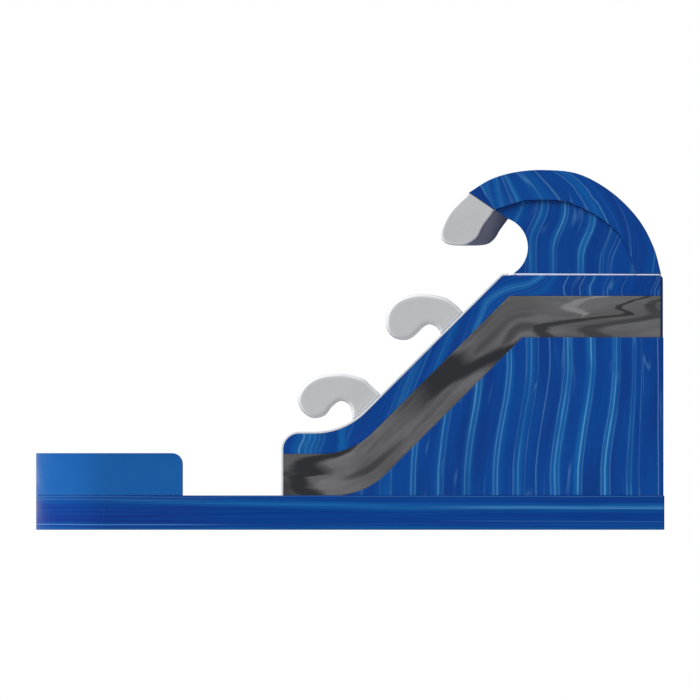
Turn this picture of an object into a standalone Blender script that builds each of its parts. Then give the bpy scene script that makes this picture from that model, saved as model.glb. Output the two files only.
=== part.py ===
"""Inflatable water slide with a breaking-wave canopy.

Metres, +Z up. The origin is on the ground under the middle of the base. +X runs from the splash pool
to the tower, and -Y is the side with the climb lane. Every inflated chamber is a thin PVC skin with an
air passage into its neighbour, and two pieces that meet keep a small gap.
"""

import math

import bmesh
import bpy
from mathutils import Matrix, Vector

# The sheet that every chamber is made of, the gap between two pieces that touch, and the rim of
# sheet that stays round an air passage
FABRIC = 0.0009
SEAT = 0.0003
PASSAGE_RIM = 0.06

# Base tubes, which the side walls and the pool wall stand on
BASE_LENGTH = 10.472
BASE_WIDTH = 4.2
BASE_HEIGHT = 0.573
WALL_WIDTH = 0.45
PLAN_RADIUS = 1.13
BASE_EDGE = 0.04

# Splash pool
POOL_WALL_LENGTH = 2.447
POOL_WALL_RISE = 0.706
POOL_END_RADIUS = 0.18
POOL_WALL_EDGE = 0.035
POOL_FLOOR_THICK = 0.11
POOL_FLOOR_SEAM = 0.035
POOL_FLOOR_CHANNELS = 7
POOL_FLOOR_EDGE = 0.04
ENTRY_GAP = 1.638

# Lanes: a flat run-out, a straight slope and the platform
RUNOUT_LENGTH = 1.385
RUNOUT_RADIUS = 1.2
SLOPE = math.radians(45)
PLATFORM_HEIGHT = 3.208
BREAK_RADIUS = 0.08
BODY_INSET = 0.015
BODY_TIP = 0.01

# Side walls: heights over the lane on the flat stretches and, square to it, on the slope
LOWER_RISE = 0.69
LOWER_SLOPE_RISE = 0.641
UPPER_RISE = 1.03
UPPER_SLOPE_RISE = 0.96
TRIM_THICK = 0.036
TRIM_CORNER_RADIUS = 0.3
WALL_END_INSET = 0.063
WALL_EDGE = 0.03

# Back wall of the platform
BACK_WALL_INSET = 0.023
BACK_WALL_EDGE = 0.05

# Lanes across the width, and the mats on them
CLIMB_WIDTH = 1.15
DIVIDER_WIDTH = 0.4
DIVIDER_RISE = 0.55
DIVIDER_SLOPE_RISE = 0.5
DIVIDER_EDGE = 0.08
DIVIDER_NOSE_RADIUS = 0.25
MAT_THICK = 0.12
MAT_EDGE = 0.03
CHANNEL_COUNT = 5
CHANNEL_SEAM = 0.05
PLATFORM_EDGE = 0.04

# Step bolsters across the climb lane
STEP_COUNT = 6
STEP_RADIUS = 0.13
STEP_FIRST = 0.66
STEP_PITCH = 0.55
STEP_INSET = 0.05
STEP_EDGE = 0.03

# Wave canopy: its reach from the back to the tip, its rise over the walls, and the rim that frames it
CREST_INSET = 0.048
CREST_REACH = 3.685
CREST_RISE = 1.76
RIM_BACK_WIDTH = 0.41
RIM_FRONT_WIDTH = 0.5
RIM_EDGE = 0.035
CUT_LENGTH = 0.787
CUT_ANGLE = math.radians(-34.2)
PANEL_RECESS = 0.06
PANEL_FOOT_INSET = 0.223
PANEL_BULGE = 0.32
PANEL_EDGE = 0.015
PANEL_SEAT = 0.0006
TIP_ROLL = 0.42

# White curls on the side walls, each placed by its back end: how far that lies behind the foot of the
# slide, and how far the curl's lowest point lies under the trim there
CURL_LENGTH = 1.32
CURL_HEIGHT = 0.77
CURL_WIDTH = 0.33
CURL_EDGE = 0.06
CURL_PASSAGE_RIM = 0.03
LOWER_CURL_BACK = 1.6
UPPER_CURL_BACK = 3.066
LOWER_CURL_DROP = 0.351
UPPER_CURL_DROP = 0.5

# Air inlet sleeve and its tie strap, on the far side near the back
SLEEVE_INSET = 1.236
SLEEVE_Z = 0.24
SLEEVE_RADIUS = 0.16
SLEEVE_LENGTH = 0.7
SLEEVE_FLARE = 0.02
SLEEVE_HEM = 0.08
SLEEVE_SIDES = 16
STRAP_WIDTH = 0.045
STRAP_THICK = 0.003
STRAP_PLACE = 0.43

# Deflation zip on the far side: a tape with its coil, a slider with a pull, and a flap over them
ZIP_INSET = 4.036
ZIP_Z = 0.3
ZIP_LENGTH = 1.1
ZIP_WIDTH = 0.06
ZIP_THICK = 0.002
COIL_WIDTH = 0.008
COIL_THICK = 0.003
ZIP_MARGIN = 0.04
ZIP_CLEARANCE = 0.0005
SLIDER_LENGTH = 0.032
SLIDER_WIDTH = 0.022
SLIDER_THICK = 0.009
PULL_LENGTH = 0.045
PULL_WIDTH = 0.014
PULL_THICK = 0.003
FLAP_HEIGHT = 0.15
FLAP_MARGIN = 0.05
FLAP_STAND = 0.024
FLAP_THICK = 0.002

# Ground anchors on the far side: a welded patch, a sewn loop and a steel ring
ANCHOR_COUNT = 3
ANCHOR_INSET = 1.936
ANCHOR_PITCH = 3.0
ANCHOR_Z = 0.2
PATCH_WIDTH = 0.2
PATCH_HEIGHT = 0.16
PATCH_THICK = 0.003
PATCH_CORNER = 0.03
LOOP_WIDTH = 0.045
LOOP_THICK = 0.003
LOOP_TAIL = 0.055
LOOP_CLEARANCE = 0.0015
LOOP_PINCH = 0.013
RING_WIDTH = 0.062
RING_DROP = 0.05
RING_WIRE = 0.0035
RING_CORNER = 0.008

# Water feed under the canopy: a spray pipe over the slide lane, held by two saddles, with a shut-off
# valve and a swivelling hose coupling at its far end
PIPE_REACH = 2.088
PIPE_RADIUS = 0.017
PIPE_DROP = 0.03
PIPE_INSET = 0.15
PIPE_SIDES = 12
NOZZLE_COUNT = 5
NOZZLE_RADIUS = 0.008
NOZZLE_LENGTH = 0.016
NOZZLE_SIDES = 8
SADDLE_WIDTH = 0.05
SADDLE_THICK = 0.003
SADDLE_FOOT = 0.05
SADDLE_INSET = 0.3
VALVE_RADIUS = 0.026
VALVE_LENGTH = 0.08
VALVE_INSET = 0.22
NECK_RADIUS = 0.013
NECK_LENGTH = 0.05
FLANGE_THICK = 0.006
LEVER_LENGTH = 0.09
LEVER_WIDTH = 0.018
LEVER_THICK = 0.005
STEM_WIDTH = 0.014
STEM_HEIGHT = 0.012
COUPLING_WALL = 0.006
COUPLING_CLEARANCE = 0.001

# Grab handles on each side of the climb lane, placed down the slope from the platform
HANDLE_DROP = 0.486
HANDLE_LENGTH = 0.34
HANDLE_STAND = 0.07
HANDLE_RADIUS = 0.016
HANDLE_RISE = 0.32
HANDLE_CORNER = 0.05

# Shares of CREST_REACH, forward from the back, and of CREST_RISE, for the canopy's outer line
RIM_OUTER_SHARES = ((0.0, 0.0), (0.0352, 0.267), (0.106, 0.539), (0.226, 0.79), (0.375, 0.962),
                    (0.5325, 1.0), (0.665, 0.978), (0.775, 0.909), (0.87, 0.788))
# The same shares for the tip: its outer line from the cut, and its underside at the sides and in the middle
TIP_OUTER_SHARES = ((0.917, 0.703), (0.961, 0.599), (0.99, 0.485), (1.0, 0.4), (0.991, 0.333),
                    (0.968, 0.298), (0.936, 0.284))
TIP_SIDE_SHARES = ((0.892, 0.288), (0.853, 0.33), (0.831, 0.373), (0.809, 0.464), (0.78, 0.547))
TIP_MIDDLE_SHARES = ((0.88, 0.282), (0.8165, 0.286), (0.78, 0.305), (0.7515, 0.358), (0.7297, 0.434))
# Share of the cut's length where the rim ends, share of the outer line where the inner one stops, and
# shares of the inner line between which the rim grows to its front width
KNEE_SHARE = 0.66
INNER_STOP_SHARE = 0.8
RIM_SPREAD_SHARES = (0.31, 0.54)
# Shares of CURL_LENGTH and CURL_HEIGHT, from the back foot over the top to the hook
UPPER_CURL_SHARES = ((0.896, 0.742), (0.742, 0.918), (0.472, 1.0), (0.279, 0.963), (0.1275, 0.844),
                     (0.033, 0.649), (0.0, 0.411), (0.02, 0.195), (0.111, 0.043), (0.227, 0.0),
                     (0.317, 0.039), (0.408, 0.169), (0.472, 0.279), (0.549, 0.34), (0.626, 0.297),
                     (0.683, 0.195))
LOWER_CURL_SHARES = ((0.975, 0.64), (0.91, 0.745), (0.84, 0.855), (0.76, 0.915), (0.64, 0.965),
                     (0.5, 0.99), (0.26, 0.93), (0.1, 0.77), (0.012, 0.55), (0.0, 0.37),
                     (0.045, 0.19), (0.13, 0.06), (0.22, 0.02), (0.34, 0.08), (0.425, 0.26),
                     (0.53, 0.39), (0.63, 0.34), (0.672, 0.22), (0.679, 0.12))
UPPER_FOOT_SHARES = (0.69, 0.77, 0.84, 0.91, 0.975)
LOWER_FOOT_SHARES = (0.69, 0.78, 0.87, 0.96, 1.045)
# Share of the cut from its knee to the next point, and shares of the tip's roll, across the width,
# where its underside passes from the side line to the middle
CUT_SHARE = 0.1
ROLL_SHARES = (0.0, 0.15, 0.45, 1.0)

# How fine the shapes are: the turn of one step of an arc, the steps of one span of the crest, of one
# channel of the slide bed and of a rounded edge; the angle over which an edge is sharp and that under
# which two faces are one; and the distance under which two points are one
ARC_STEP = math.radians(15)
CREST_STEPS = 2
CHANNEL_STEPS = 3
EDGE_STEPS = 2
END_STEPS = 4
SHARP = math.radians(40)
FLAT = math.radians(1)
MERGE = 0.00001

# Places that follow from the sizes above
FRONT_X = -BASE_LENGTH / 2
BACK_X = BASE_LENGTH / 2
SIDE_Y = BASE_WIDTH / 2
INNER_Y = SIDE_Y - WALL_WIDTH
BEAM_X = FRONT_X + PLAN_RADIUS
FOOT_X = FRONT_X + POOL_WALL_LENGTH + ENTRY_GAP
SLOPE_X = FOOT_X + RUNOUT_LENGTH
BREAK_X = SLOPE_X + (PLATFORM_HEIGHT - BASE_HEIGHT) / math.tan(SLOPE)
PANEL_FOOT_X = BREAK_X - PANEL_FOOT_INSET
BODY_BACK_X = BACK_X - BODY_INSET
WALL_END_X = BACK_X - WALL_END_INSET
BACK_WALL_X = BACK_X - BACK_WALL_INSET
DECK_HEIGHT = BASE_HEIGHT - MAT_THICK
CREST_BACK_X = BACK_X - CREST_INSET
CREST_BASE = PLATFORM_HEIGHT + UPPER_RISE
SLEEVE_X = BACK_X - SLEEVE_INSET
ZIP_X = BACK_X - ZIP_INSET
ANCHOR_X = FRONT_X + ANCHOR_INSET
PIPE_X = CREST_BACK_X - PIPE_REACH
CLIMB_Y = (-INNER_Y, -INNER_Y + CLIMB_WIDTH)
DIVIDER_Y = (CLIMB_Y[1], CLIMB_Y[1] + DIVIDER_WIDTH)
SLIDE_Y = (DIVIDER_Y[1], INNER_Y)
SIDES = {"near": -1, "far": 1}

DOWN = Vector((0, 0, -1))
BACKWARD = Vector((1, 0, 0))
FORWARD = Vector((-1, 0, 0))
UNDER_SLOPE = Vector((math.sin(SLOPE), 0, -math.cos(SLOPE)))

# Colour, roughness and metallic value of each material
FINISHES = {
    "blue_pvc": ((0.008, 0.075, 0.3), 0.35, 0),
    "grey_pvc": ((0.12, 0.12, 0.125), 0.4, 0),
    "white_pvc": ((0.72, 0.72, 0.74), 0.4, 0),
    "mat_pvc": ((0.02, 0.16, 0.45), 0.3, 0),
    "webbing": ((0.02, 0.02, 0.025), 0.8, 0),
    "steel": ((0.6, 0.6, 0.6), 0.25, 1),
    "brass": ((0.75, 0.55, 0.25), 0.3, 1),
    "pipe": ((0.7, 0.7, 0.7), 0.35, 0),
    "lever": ((0.5, 0.02, 0.02), 0.4, 0),
}


def clear_scene():
    for thing in list(bpy.data.objects):
        bpy.data.objects.remove(thing, do_unlink=True)


def finish(name):
    """Return the named material, made on its first use."""
    material = bpy.data.materials.get(name)
    if material is None:
        colour, roughness, metallic = FINISHES[name]
        material = bpy.data.materials.new(name)
        material.use_nodes = True
        shader = material.node_tree.nodes["Principled BSDF"]
        shader.inputs["Base Color"].default_value = (*colour, 1)
        shader.inputs["Roughness"].default_value = roughness
        shader.inputs["Metallic"].default_value = metallic
    return material


def arc(centre, radius, start, turn):
    """Points of an arc, both ends included, from the angle start through the angle turn."""
    steps = max(1, round(abs(turn) / ARC_STEP))
    angles = [start + turn * i / steps for i in range(steps + 1)]
    return [(centre[0] + radius * math.cos(a), centre[1] + radius * math.sin(a)) for a in angles]


def rounded(corners):
    """Turn corners (u, v, radius) into a line of points, with an arc at each corner that has a radius."""
    points = []
    for i, (u, v, radius) in enumerate(corners):
        if not radius:
            points.append((u, v))
            continue
        here = Vector((u, v))
        before = (Vector(corners[i - 1][:2]) - here).normalized()
        after = (Vector(corners[(i + 1) % len(corners)][:2]) - here).normalized()
        half = before.angle(after) / 2
        centre = here + (before + after).normalized() * (radius / math.sin(half))
        first = here + before * (radius / math.tan(half)) - centre
        last = here + after * (radius / math.tan(half)) - centre
        turn = math.atan2(first.x * last.y - first.y * last.x, first.dot(last))
        points += arc(centre, radius, math.atan2(first.y, first.x), turn)
    return points


def smooth(points, steps):
    """Points of a smooth curve through the given ones, with the given steps in each span."""
    knots = [Vector(p) for p in points]
    knots = [knots[0] * 2 - knots[1]] + knots + [knots[-1] * 2 - knots[-2]]
    curve = []
    for a, b, c, d in zip(knots, knots[1:], knots[2:], knots[3:]):
        for t in [i / steps for i in range(steps)]:
            bend = (a * 2 - b * 5 + c * 4 - d) * (t ** 2 / 2) + (b * 3 - a - c * 3 + d) * (t ** 3 / 2)
            curve.append(b + (c - a) * (t / 2) + bend)
    return [tuple(p) for p in curve + [knots[-2]]]


def mirrored(points):
    """The points on the other side of the centre line, in the opposite order."""
    return [(u, -v) for u, v in reversed(points)]


def plate(outline, thickness, place):
    """A flat plate with the given outline, from a filled curve, with one face on each flat side."""
    curve = bpy.data.curves.new("outline", "CURVE")
    curve.dimensions = "2D"
    curve.fill_mode = "BOTH"
    curve.extrude = thickness / 2
    spline = curve.splines.new("POLY")
    spline.points.add(len(outline) - 1)
    for point, (u, v) in zip(spline.points, outline):
        point.co = (u, v, 0, 1)
    spline.use_cyclic_u = True
    guide = bpy.data.objects.new("outline", curve)
    bpy.context.scene.collection.objects.link(guide)
    graph = bpy.context.evaluated_depsgraph_get()
    mesh = bpy.data.meshes.new_from_object(guide.evaluated_get(graph))
    bpy.data.objects.remove(guide)
    mesh.transform(place)
    bm = bmesh.new()
    bm.from_mesh(mesh)
    bpy.data.meshes.remove(mesh)
    bmesh.ops.remove_doubles(bm, verts=bm.verts, dist=MERGE)
    bmesh.ops.dissolve_limit(bm, angle_limit=FLAT, verts=bm.verts, edges=bm.edges)
    bmesh.ops.recalc_face_normals(bm, faces=bm.faces)
    return bm


def side_plate(outline, y_low, y_high):
    """A plate drawn in the side view, X and Z, that fills a span of Y."""
    turn = Matrix.Rotation(math.pi / 2, 4, "X")
    return plate(outline, y_high - y_low, Matrix.Translation((0, (y_low + y_high) / 2, 0)) @ turn)


def plan_plate(outline, z_low, z_high):
    """A plate drawn in the plan, X and Y, that fills a span of Z."""
    return plate(outline, z_high - z_low, Matrix.Translation((0, 0, (z_low + z_high) / 2)))


def end_plate(outline, x_low, x_high):
    """A plate drawn in the end view, Y and Z, that fills a span of X."""
    turn = Matrix(((0, 0, 1, 0), (1, 0, 0, 0), (0, 1, 0, 0), (0, 0, 0, 1)))
    return plate(outline, x_high - x_low, Matrix.Translation(((x_low + x_high) / 2, 0, 0)) @ turn)


def box(u_low, u_high, v_low, v_high):
    return [(u_low, v_low), (u_high, v_low), (u_high, v_high), (u_low, v_high)]


def round_edges(bm, radius, segments=EDGE_STEPS, wanted=lambda edge: True):
    """Round the sharp edges that are wanted."""
    sharp = [e for e in bm.edges if e.calc_face_angle(0) > SHARP and wanted(e)]
    bmesh.ops.bevel(bm, geom=sharp, offset=radius, segments=segments, profile=0.5, affect="EDGES",
                    clamp_overlap=True)
    return bm


def open_passage(bm, toward, rim=PASSAGE_RIM):
    """Open the largest face that looks the given way, and leave a rim of sheet round the opening."""
    facing = [f for f in bm.faces if f.normal.dot(toward) > math.cos(2 * ARC_STEP)]
    hidden = max(facing, key=lambda f: f.calc_area())
    bmesh.ops.inset_individual(bm, faces=[hidden], thickness=rim, depth=0)
    bmesh.ops.delete(bm, geom=[hidden], context="FACES")
    return bm


def loft(rings):
    """A closed body through rings with as many points each, with a face over each end."""
    bm = bmesh.new()
    rows = [[bm.verts.new(p) for p in ring] for ring in rings]
    for row, after in zip(rows, rows[1:]):
        for i in range(len(row)):
            j = (i + 1) % len(row)
            bm.faces.new((row[i], row[j], after[j], after[i]))
    bm.faces.new(rows[0])
    bm.faces.new(rows[-1])
    bmesh.ops.recalc_face_normals(bm, faces=bm.faces)
    return bm


def add_solid(name, bm, material):
    """Turn the bmesh into a named object in the slide's collection."""
    mesh = bpy.data.meshes.new(name)
    bm.to_mesh(mesh)
    bm.free()
    mesh.materials.append(finish(material))
    mesh.shade_smooth()
    mesh.set_sharp_from_angle(angle=SHARP)
    thing = bpy.data.objects.new(name, mesh)
    bpy.data.collections["water_slide"].objects.link(thing)
    return thing


def add_skin(name, bm, material, thickness=FABRIC):
    """Turn the open bag into a sheet, whose thickness lies inside the drawn surface."""
    thing = add_solid(name, bm, material)
    sheet = thing.modifiers.new("fabric", "SOLIDIFY")
    sheet.thickness = thickness
    sheet.offset = -1
    sheet.use_even_offset = True
    return thing


def lane_corner(height, slope_rise):
    """Where the line slope_rise over the slope, square to it, reaches a height."""
    return SLOPE_X + (height - BASE_HEIGHT - slope_rise / math.cos(SLOPE)) / math.tan(SLOPE)


def lane_line(rise, slope_rise, x_from, x_to):
    """The lane's line in the side view, lifted by rise on the flats and slope_rise on the slope."""
    low = BASE_HEIGHT + rise
    high = PLATFORM_HEIGHT + rise
    foot, crown = lane_corner(low, slope_rise), lane_corner(high, slope_rise)
    line = [(x_from, low, 0), (foot, low, RUNOUT_RADIUS)]
    if x_to > crown + BREAK_RADIUS:
        line += [(crown, high, BREAK_RADIUS), (x_to, high, 0)]
    else:
        line.append((x_to, low + (x_to - foot) * math.tan(SLOPE), 0))
    return rounded(line)


def slope_point(distance, lift):
    """The point at a distance up the straight slope and lifted square to it, in the side view."""
    u = SLOPE_X + distance * math.cos(SLOPE) - lift * math.sin(SLOPE)
    return u, BASE_HEIGHT + distance * math.sin(SLOPE) + lift * math.cos(SLOPE)


def corner_arcs():
    """The outer and inner plan arcs of the far front corner, both from the side to the front."""
    centre = (BEAM_X, SIDE_Y - PLAN_RADIUS)
    quarter = math.pi / 2
    return arc(centre, PLAN_RADIUS, quarter, quarter), arc(centre, PLAN_RADIUS - WALL_WIDTH, quarter, quarter)


def horseshoe(x_to):
    """The plan of a tube round the pool's front, whose two arms reach x_to."""
    outer, inner = corner_arcs()
    far_side = [(x_to, SIDE_Y)] * (x_to > BEAM_X) + outer
    far_inside = inner[::-1] + [(x_to, INNER_Y)] * (x_to > BEAM_X)
    return far_side + mirrored(far_side) + mirrored(far_inside) + far_inside


def make_base():
    bm = round_edges(plan_plate(horseshoe(BEAM_X), 0, BASE_HEIGHT), BASE_EDGE, 1)
    add_skin("base_front", open_passage(bm, BACKWARD), "blue_pvc")
    for name, side in SIDES.items():
        low, high = sorted((side * INNER_Y, side * SIDE_Y))
        bm = round_edges(plan_plate(box(BEAM_X + SEAT, BACK_X, low, high), 0, BASE_HEIGHT), BASE_EDGE)
        beam = add_skin(f"base_{name}", open_passage(bm, FORWARD), "blue_pvc")
        if side > 0:
            cut_inlet(beam)
    inside = INNER_Y - SEAT
    bm = plan_plate(box(BACK_X - WALL_WIDTH, BACK_X, -inside, inside), 0, BASE_HEIGHT)
    add_skin("base_rear", open_passage(round_edges(bm, BASE_EDGE), FORWARD), "blue_pvc")
    bm = plan_plate(box(FOOT_X, BACK_X - WALL_WIDTH - SEAT, -inside, inside), 0, DECK_HEIGHT)
    add_skin("base_deck", open_passage(round_edges(bm, MAT_EDGE), BACKWARD), "blue_pvc")


def cut_inlet(beam):
    """Cut the hole behind the air inlet sleeve."""
    bpy.ops.mesh.primitive_cylinder_add(
        vertices=SLEEVE_SIDES, radius=SLEEVE_RADIUS - PASSAGE_RIM, depth=WALL_WIDTH,
        location=(SLEEVE_X, SIDE_Y, SLEEVE_Z), rotation=(math.pi / 2, 0, 0))
    cutter = bpy.context.object
    cutter.name = "inlet_cutter"
    put_with_cutters(cutter)
    cut = beam.modifiers.new("inlet", "BOOLEAN")
    cut.object = cutter
    cut.operation = "DIFFERENCE"


def put_with_cutters(cutter):
    for home in list(cutter.users_collection):
        home.objects.unlink(cutter)
    bpy.data.collections["cutters"].objects.link(cutter)
    cutter.hide_render = True
    cutter.display_type = "WIRE"


def make_pool():
    top = BASE_HEIGHT + POOL_WALL_RISE
    arm_x = FRONT_X + POOL_WALL_LENGTH
    bm = plan_plate(horseshoe(arm_x), BASE_HEIGHT + SEAT, top)

    def on_arm_top(edge):
        return all(v.co.x > arm_x - MERGE and v.co.z > top - MERGE for v in edge.verts)

    round_edges(bm, POOL_END_RADIUS, END_STEPS, on_arm_top)
    round_edges(bm, POOL_WALL_EDGE)
    add_skin("pool_wall", open_passage(bm, DOWN), "blue_pvc")
    make_pool_floor()


def make_pool_floor():
    """The padded floor, with channels across it and its front corners round like the wall's."""
    corner = [(x + SEAT, y - SEAT) for x, y in reversed(corner_arcs()[1])]
    start, end = corner[0][0], FOOT_X - SEAT
    pitch = (end - start) / POOL_FLOOR_CHANNELS
    places = [start + pitch * i / 2 for i in range(2 * POOL_FLOOR_CHANNELS + 1)]
    rings = []
    for x, half in corner + [(x, INNER_Y - SEAT) for x in places if x > corner[-1][0] + POOL_FLOOR_EDGE]:
        top = POOL_FLOOR_THICK - POOL_FLOOR_SEAM * abs(math.cos(math.pi * (x - start) / pitch))
        side = top - POOL_FLOOR_EDGE
        flat = half - POOL_FLOOR_EDGE
        section = [(-half, 0), (half, 0), (half, side), (flat, top), (-flat, top), (-half, side)]
        rings.append([(x, y, z) for y, z in section])
    add_skin("pool_floor", open_passage(loft(rings), BACKWARD, POOL_FLOOR_SEAM / 2), "mat_pvc")


def heel():
    """The underside's end in the side view, stepped over the rear base tube."""
    step_x = BACK_X - WALL_WIDTH - SEAT
    return [(step_x, DECK_HEIGHT + SEAT), (step_x, BASE_HEIGHT + SEAT), (BODY_BACK_X, BASE_HEIGHT + SEAT)]


def body_outline(lift, underside):
    """Side view of a chamber under a lane, from the run-out's curve to the back of the tower."""
    line = lane_line(lift, lift, FOOT_X, BODY_BACK_X)
    floor = line[0][1]
    before, after = line[1], line[2]
    tip = before[0] + (after[0] - before[0]) * BODY_TIP / (after[1] - before[1])
    top = [(x, z - SEAT) for x, z in reversed(line[2:])]
    return [(tip, floor + SEAT)] + underside + top + [(tip, floor + BODY_TIP)]


def make_bodies():
    """The lengthwise chambers that carry the walls and the lanes."""
    for name, side in SIDES.items():
        low, high = sorted((side * (INNER_Y + SEAT), side * SIDE_Y))
        bm = side_plate(body_outline(0, heel()[-1:]), low, high)
        add_skin(f"{name}_body", open_passage(bm, DOWN), "blue_pvc")
    for name, span in (("climb", CLIMB_Y), ("slide", SLIDE_Y)):
        bm = side_plate(body_outline(-MAT_THICK, heel()), span[0] + SEAT, span[1] - SEAT)
        add_skin(f"{name}_core", open_passage(bm, DOWN), "blue_pvc")
    pad = PLATFORM_HEIGHT - MAT_THICK
    line = [(x, z - SEAT) for x, z in lane_line(0, 0, FOOT_X, BREAK_X)]
    outline = [(FOOT_X, DECK_HEIGHT + SEAT)] + heel() + [(BODY_BACK_X, pad), (BREAK_X, pad)] + line[::-1]
    bm = side_plate(outline, DIVIDER_Y[0] + SEAT, DIVIDER_Y[1] - SEAT)
    add_skin("divider_core", open_passage(bm, DOWN), "blue_pvc")


def make_walls():
    """The two tubes of each side wall, the white strip over them, and the back wall."""
    lane = lane_line(0, 0, FOOT_X + TRIM_THICK, WALL_END_X)
    seam = lane_line(LOWER_RISE, LOWER_SLOPE_RISE, FOOT_X + TRIM_THICK, WALL_END_X)
    top = lane_line(UPPER_RISE, UPPER_SLOPE_RISE, FOOT_X + TRIM_THICK, WALL_END_X)
    nose = rounded([seam[0] + (0,), top[0] + (TRIM_CORNER_RADIUS - TRIM_THICK,), top[1] + (0,)])[1:-1]
    for name, side in SIDES.items():
        low, high = sorted((side * INNER_Y, side * SIDE_Y))
        bm = side_plate(lane + [(x, z - SEAT) for x, z in reversed(seam)], low, high)
        add_skin(f"{name}_wall_lower", open_passage(round_edges(bm, WALL_EDGE, 1), DOWN), "grey_pvc")
        bm = side_plate(seam + top[:0:-1] + nose[::-1], low, high)
        add_skin(f"{name}_wall_upper", open_passage(round_edges(bm, WALL_EDGE, 1), DOWN), "blue_pvc")
        bm = side_plate(trim_outline(), low, high)
        add_skin(f"{name}_trim", open_passage(bm, UNDER_SLOPE), "white_pvc")
    inside = INNER_Y - SEAT
    low = PLATFORM_HEIGHT - MAT_THICK + SEAT
    bm = side_plate(box(BACK_WALL_X - WALL_WIDTH, BACK_WALL_X, low, CREST_BASE), -inside, inside)
    add_skin("back_wall", open_passage(round_edges(bm, BACK_WALL_EDGE), DOWN), "blue_pvc")


def trim_top():
    """The top line of the white strip in the side view, with its round nose."""
    line = lane_line(UPPER_RISE + TRIM_THICK, UPPER_SLOPE_RISE + TRIM_THICK, FOOT_X, PANEL_FOOT_X - SEAT)
    foot = (FOOT_X, BASE_HEIGHT + SEAT)
    nose = rounded([foot + (0,), line[0] + (TRIM_CORNER_RADIUS,), line[1] + (0,)])[1:-1]
    return [foot] + nose + line[1:]


def trim_outline():
    line = lane_line(UPPER_RISE, UPPER_SLOPE_RISE, FOOT_X + TRIM_THICK, PANEL_FOOT_X - SEAT)
    foot = (FOOT_X + TRIM_THICK - SEAT, BASE_HEIGHT + SEAT)
    corner = (foot[0], line[0][1])
    nose = rounded([foot + (0,), corner + (TRIM_CORNER_RADIUS - TRIM_THICK,), line[1] + (0,)])[1:-1]
    under = [foot] + [(x, z + SEAT) for x, z in nose + line[1:]]
    return trim_top() + under[::-1]


def make_divider():
    """The low tube between the climb lane and the slide lane."""
    lane = lane_line(0, 0, FOOT_X + TRIM_THICK, BREAK_X)
    top = lane_line(DIVIDER_RISE, DIVIDER_SLOPE_RISE, FOOT_X + TRIM_THICK, BREAK_X)
    nose = rounded([lane[0] + (0,), top[0] + (DIVIDER_NOSE_RADIUS,), top[1] + (0,)])[1:-1]
    bm = side_plate(lane + top[:0:-1] + nose[::-1], DIVIDER_Y[0] + SEAT, DIVIDER_Y[1] - SEAT)
    add_skin("divider_wall", open_passage(round_edges(bm, DIVIDER_EDGE), UNDER_SLOPE), "grey_pvc")


def make_mats():
    """The channelled slide bed, the plain climb bed and the platform's pad."""
    make_slide_bed()
    top = lane_line(0, 0, FOOT_X, BREAK_X - SEAT)
    under = lane_line(-MAT_THICK, -MAT_THICK, FOOT_X, BREAK_X - SEAT)
    bm = side_plate(top + [(x, z + SEAT) for x, z in reversed(under)], CLIMB_Y[0] + SEAT, CLIMB_Y[1] - SEAT)
    add_skin("climb_bed", open_passage(round_edges(bm, MAT_EDGE), UNDER_SLOPE), "mat_pvc")
    low = PLATFORM_HEIGHT - MAT_THICK
    inside = INNER_Y - SEAT
    end = BACK_WALL_X - WALL_WIDTH - SEAT
    bm = side_plate(box(BREAK_X, end, low + SEAT, PLATFORM_HEIGHT), -inside, inside)
    add_skin("platform_pad", open_passage(round_edges(bm, PLATFORM_EDGE), DOWN), "mat_pvc")


def make_slide_bed():
    """Channels side by side along the lane: one section carried down the lane's line."""
    top = lane_line(0, 0, FOOT_X, BREAK_X - SEAT)
    under = lane_line(-MAT_THICK, -MAT_THICK, FOOT_X, BREAK_X - SEAT)
    left, right = SLIDE_Y[0] + SEAT, SLIDE_Y[1] - SEAT
    pitch = (right - left) / CHANNEL_COUNT
    steps = range(CHANNEL_STEPS * CHANNEL_COUNT + 1)
    crown = [(left + pitch * i / CHANNEL_STEPS, CHANNEL_SEAM * (i % CHANNEL_STEPS == 0)) for i in steps]
    rings = []
    for (x, z), (floor_x, floor_z) in zip(top, under):
        down = Vector((floor_x - x, floor_z - z)) / MAT_THICK
        ring = [(x + down.x * dip, y, z + down.y * dip) for y, dip in crown]
        rings.append(ring + [(floor_x, right, floor_z + SEAT), (floor_x, left, floor_z + SEAT)])
    add_skin("slide_bed", open_passage(loft(rings), BACKWARD, FABRIC), "mat_pvc")


def make_steps():
    """Half-round bolsters across the climb lane, at an even pitch up the slope."""
    turn = math.pi / 2
    for i in range(STEP_COUNT):
        u, v = slope_point(STEP_FIRST + i * STEP_PITCH, SEAT)
        outline = arc((u, v), STEP_RADIUS, SLOPE, 2 * turn)[::2]
        bm = side_plate(outline, CLIMB_Y[0] + STEP_INSET, CLIMB_Y[1] - STEP_INSET)
        add_skin(f"step_{i + 1}", open_passage(round_edges(bm, STEP_EDGE, 1), UNDER_SLOPE), "white_pvc")


def crest_point(reach, rise):
    """A point of the canopy in the side view, from shares of its reach and its rise."""
    return CREST_BACK_X - reach * CREST_REACH, CREST_BASE + rise * CREST_RISE


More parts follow.
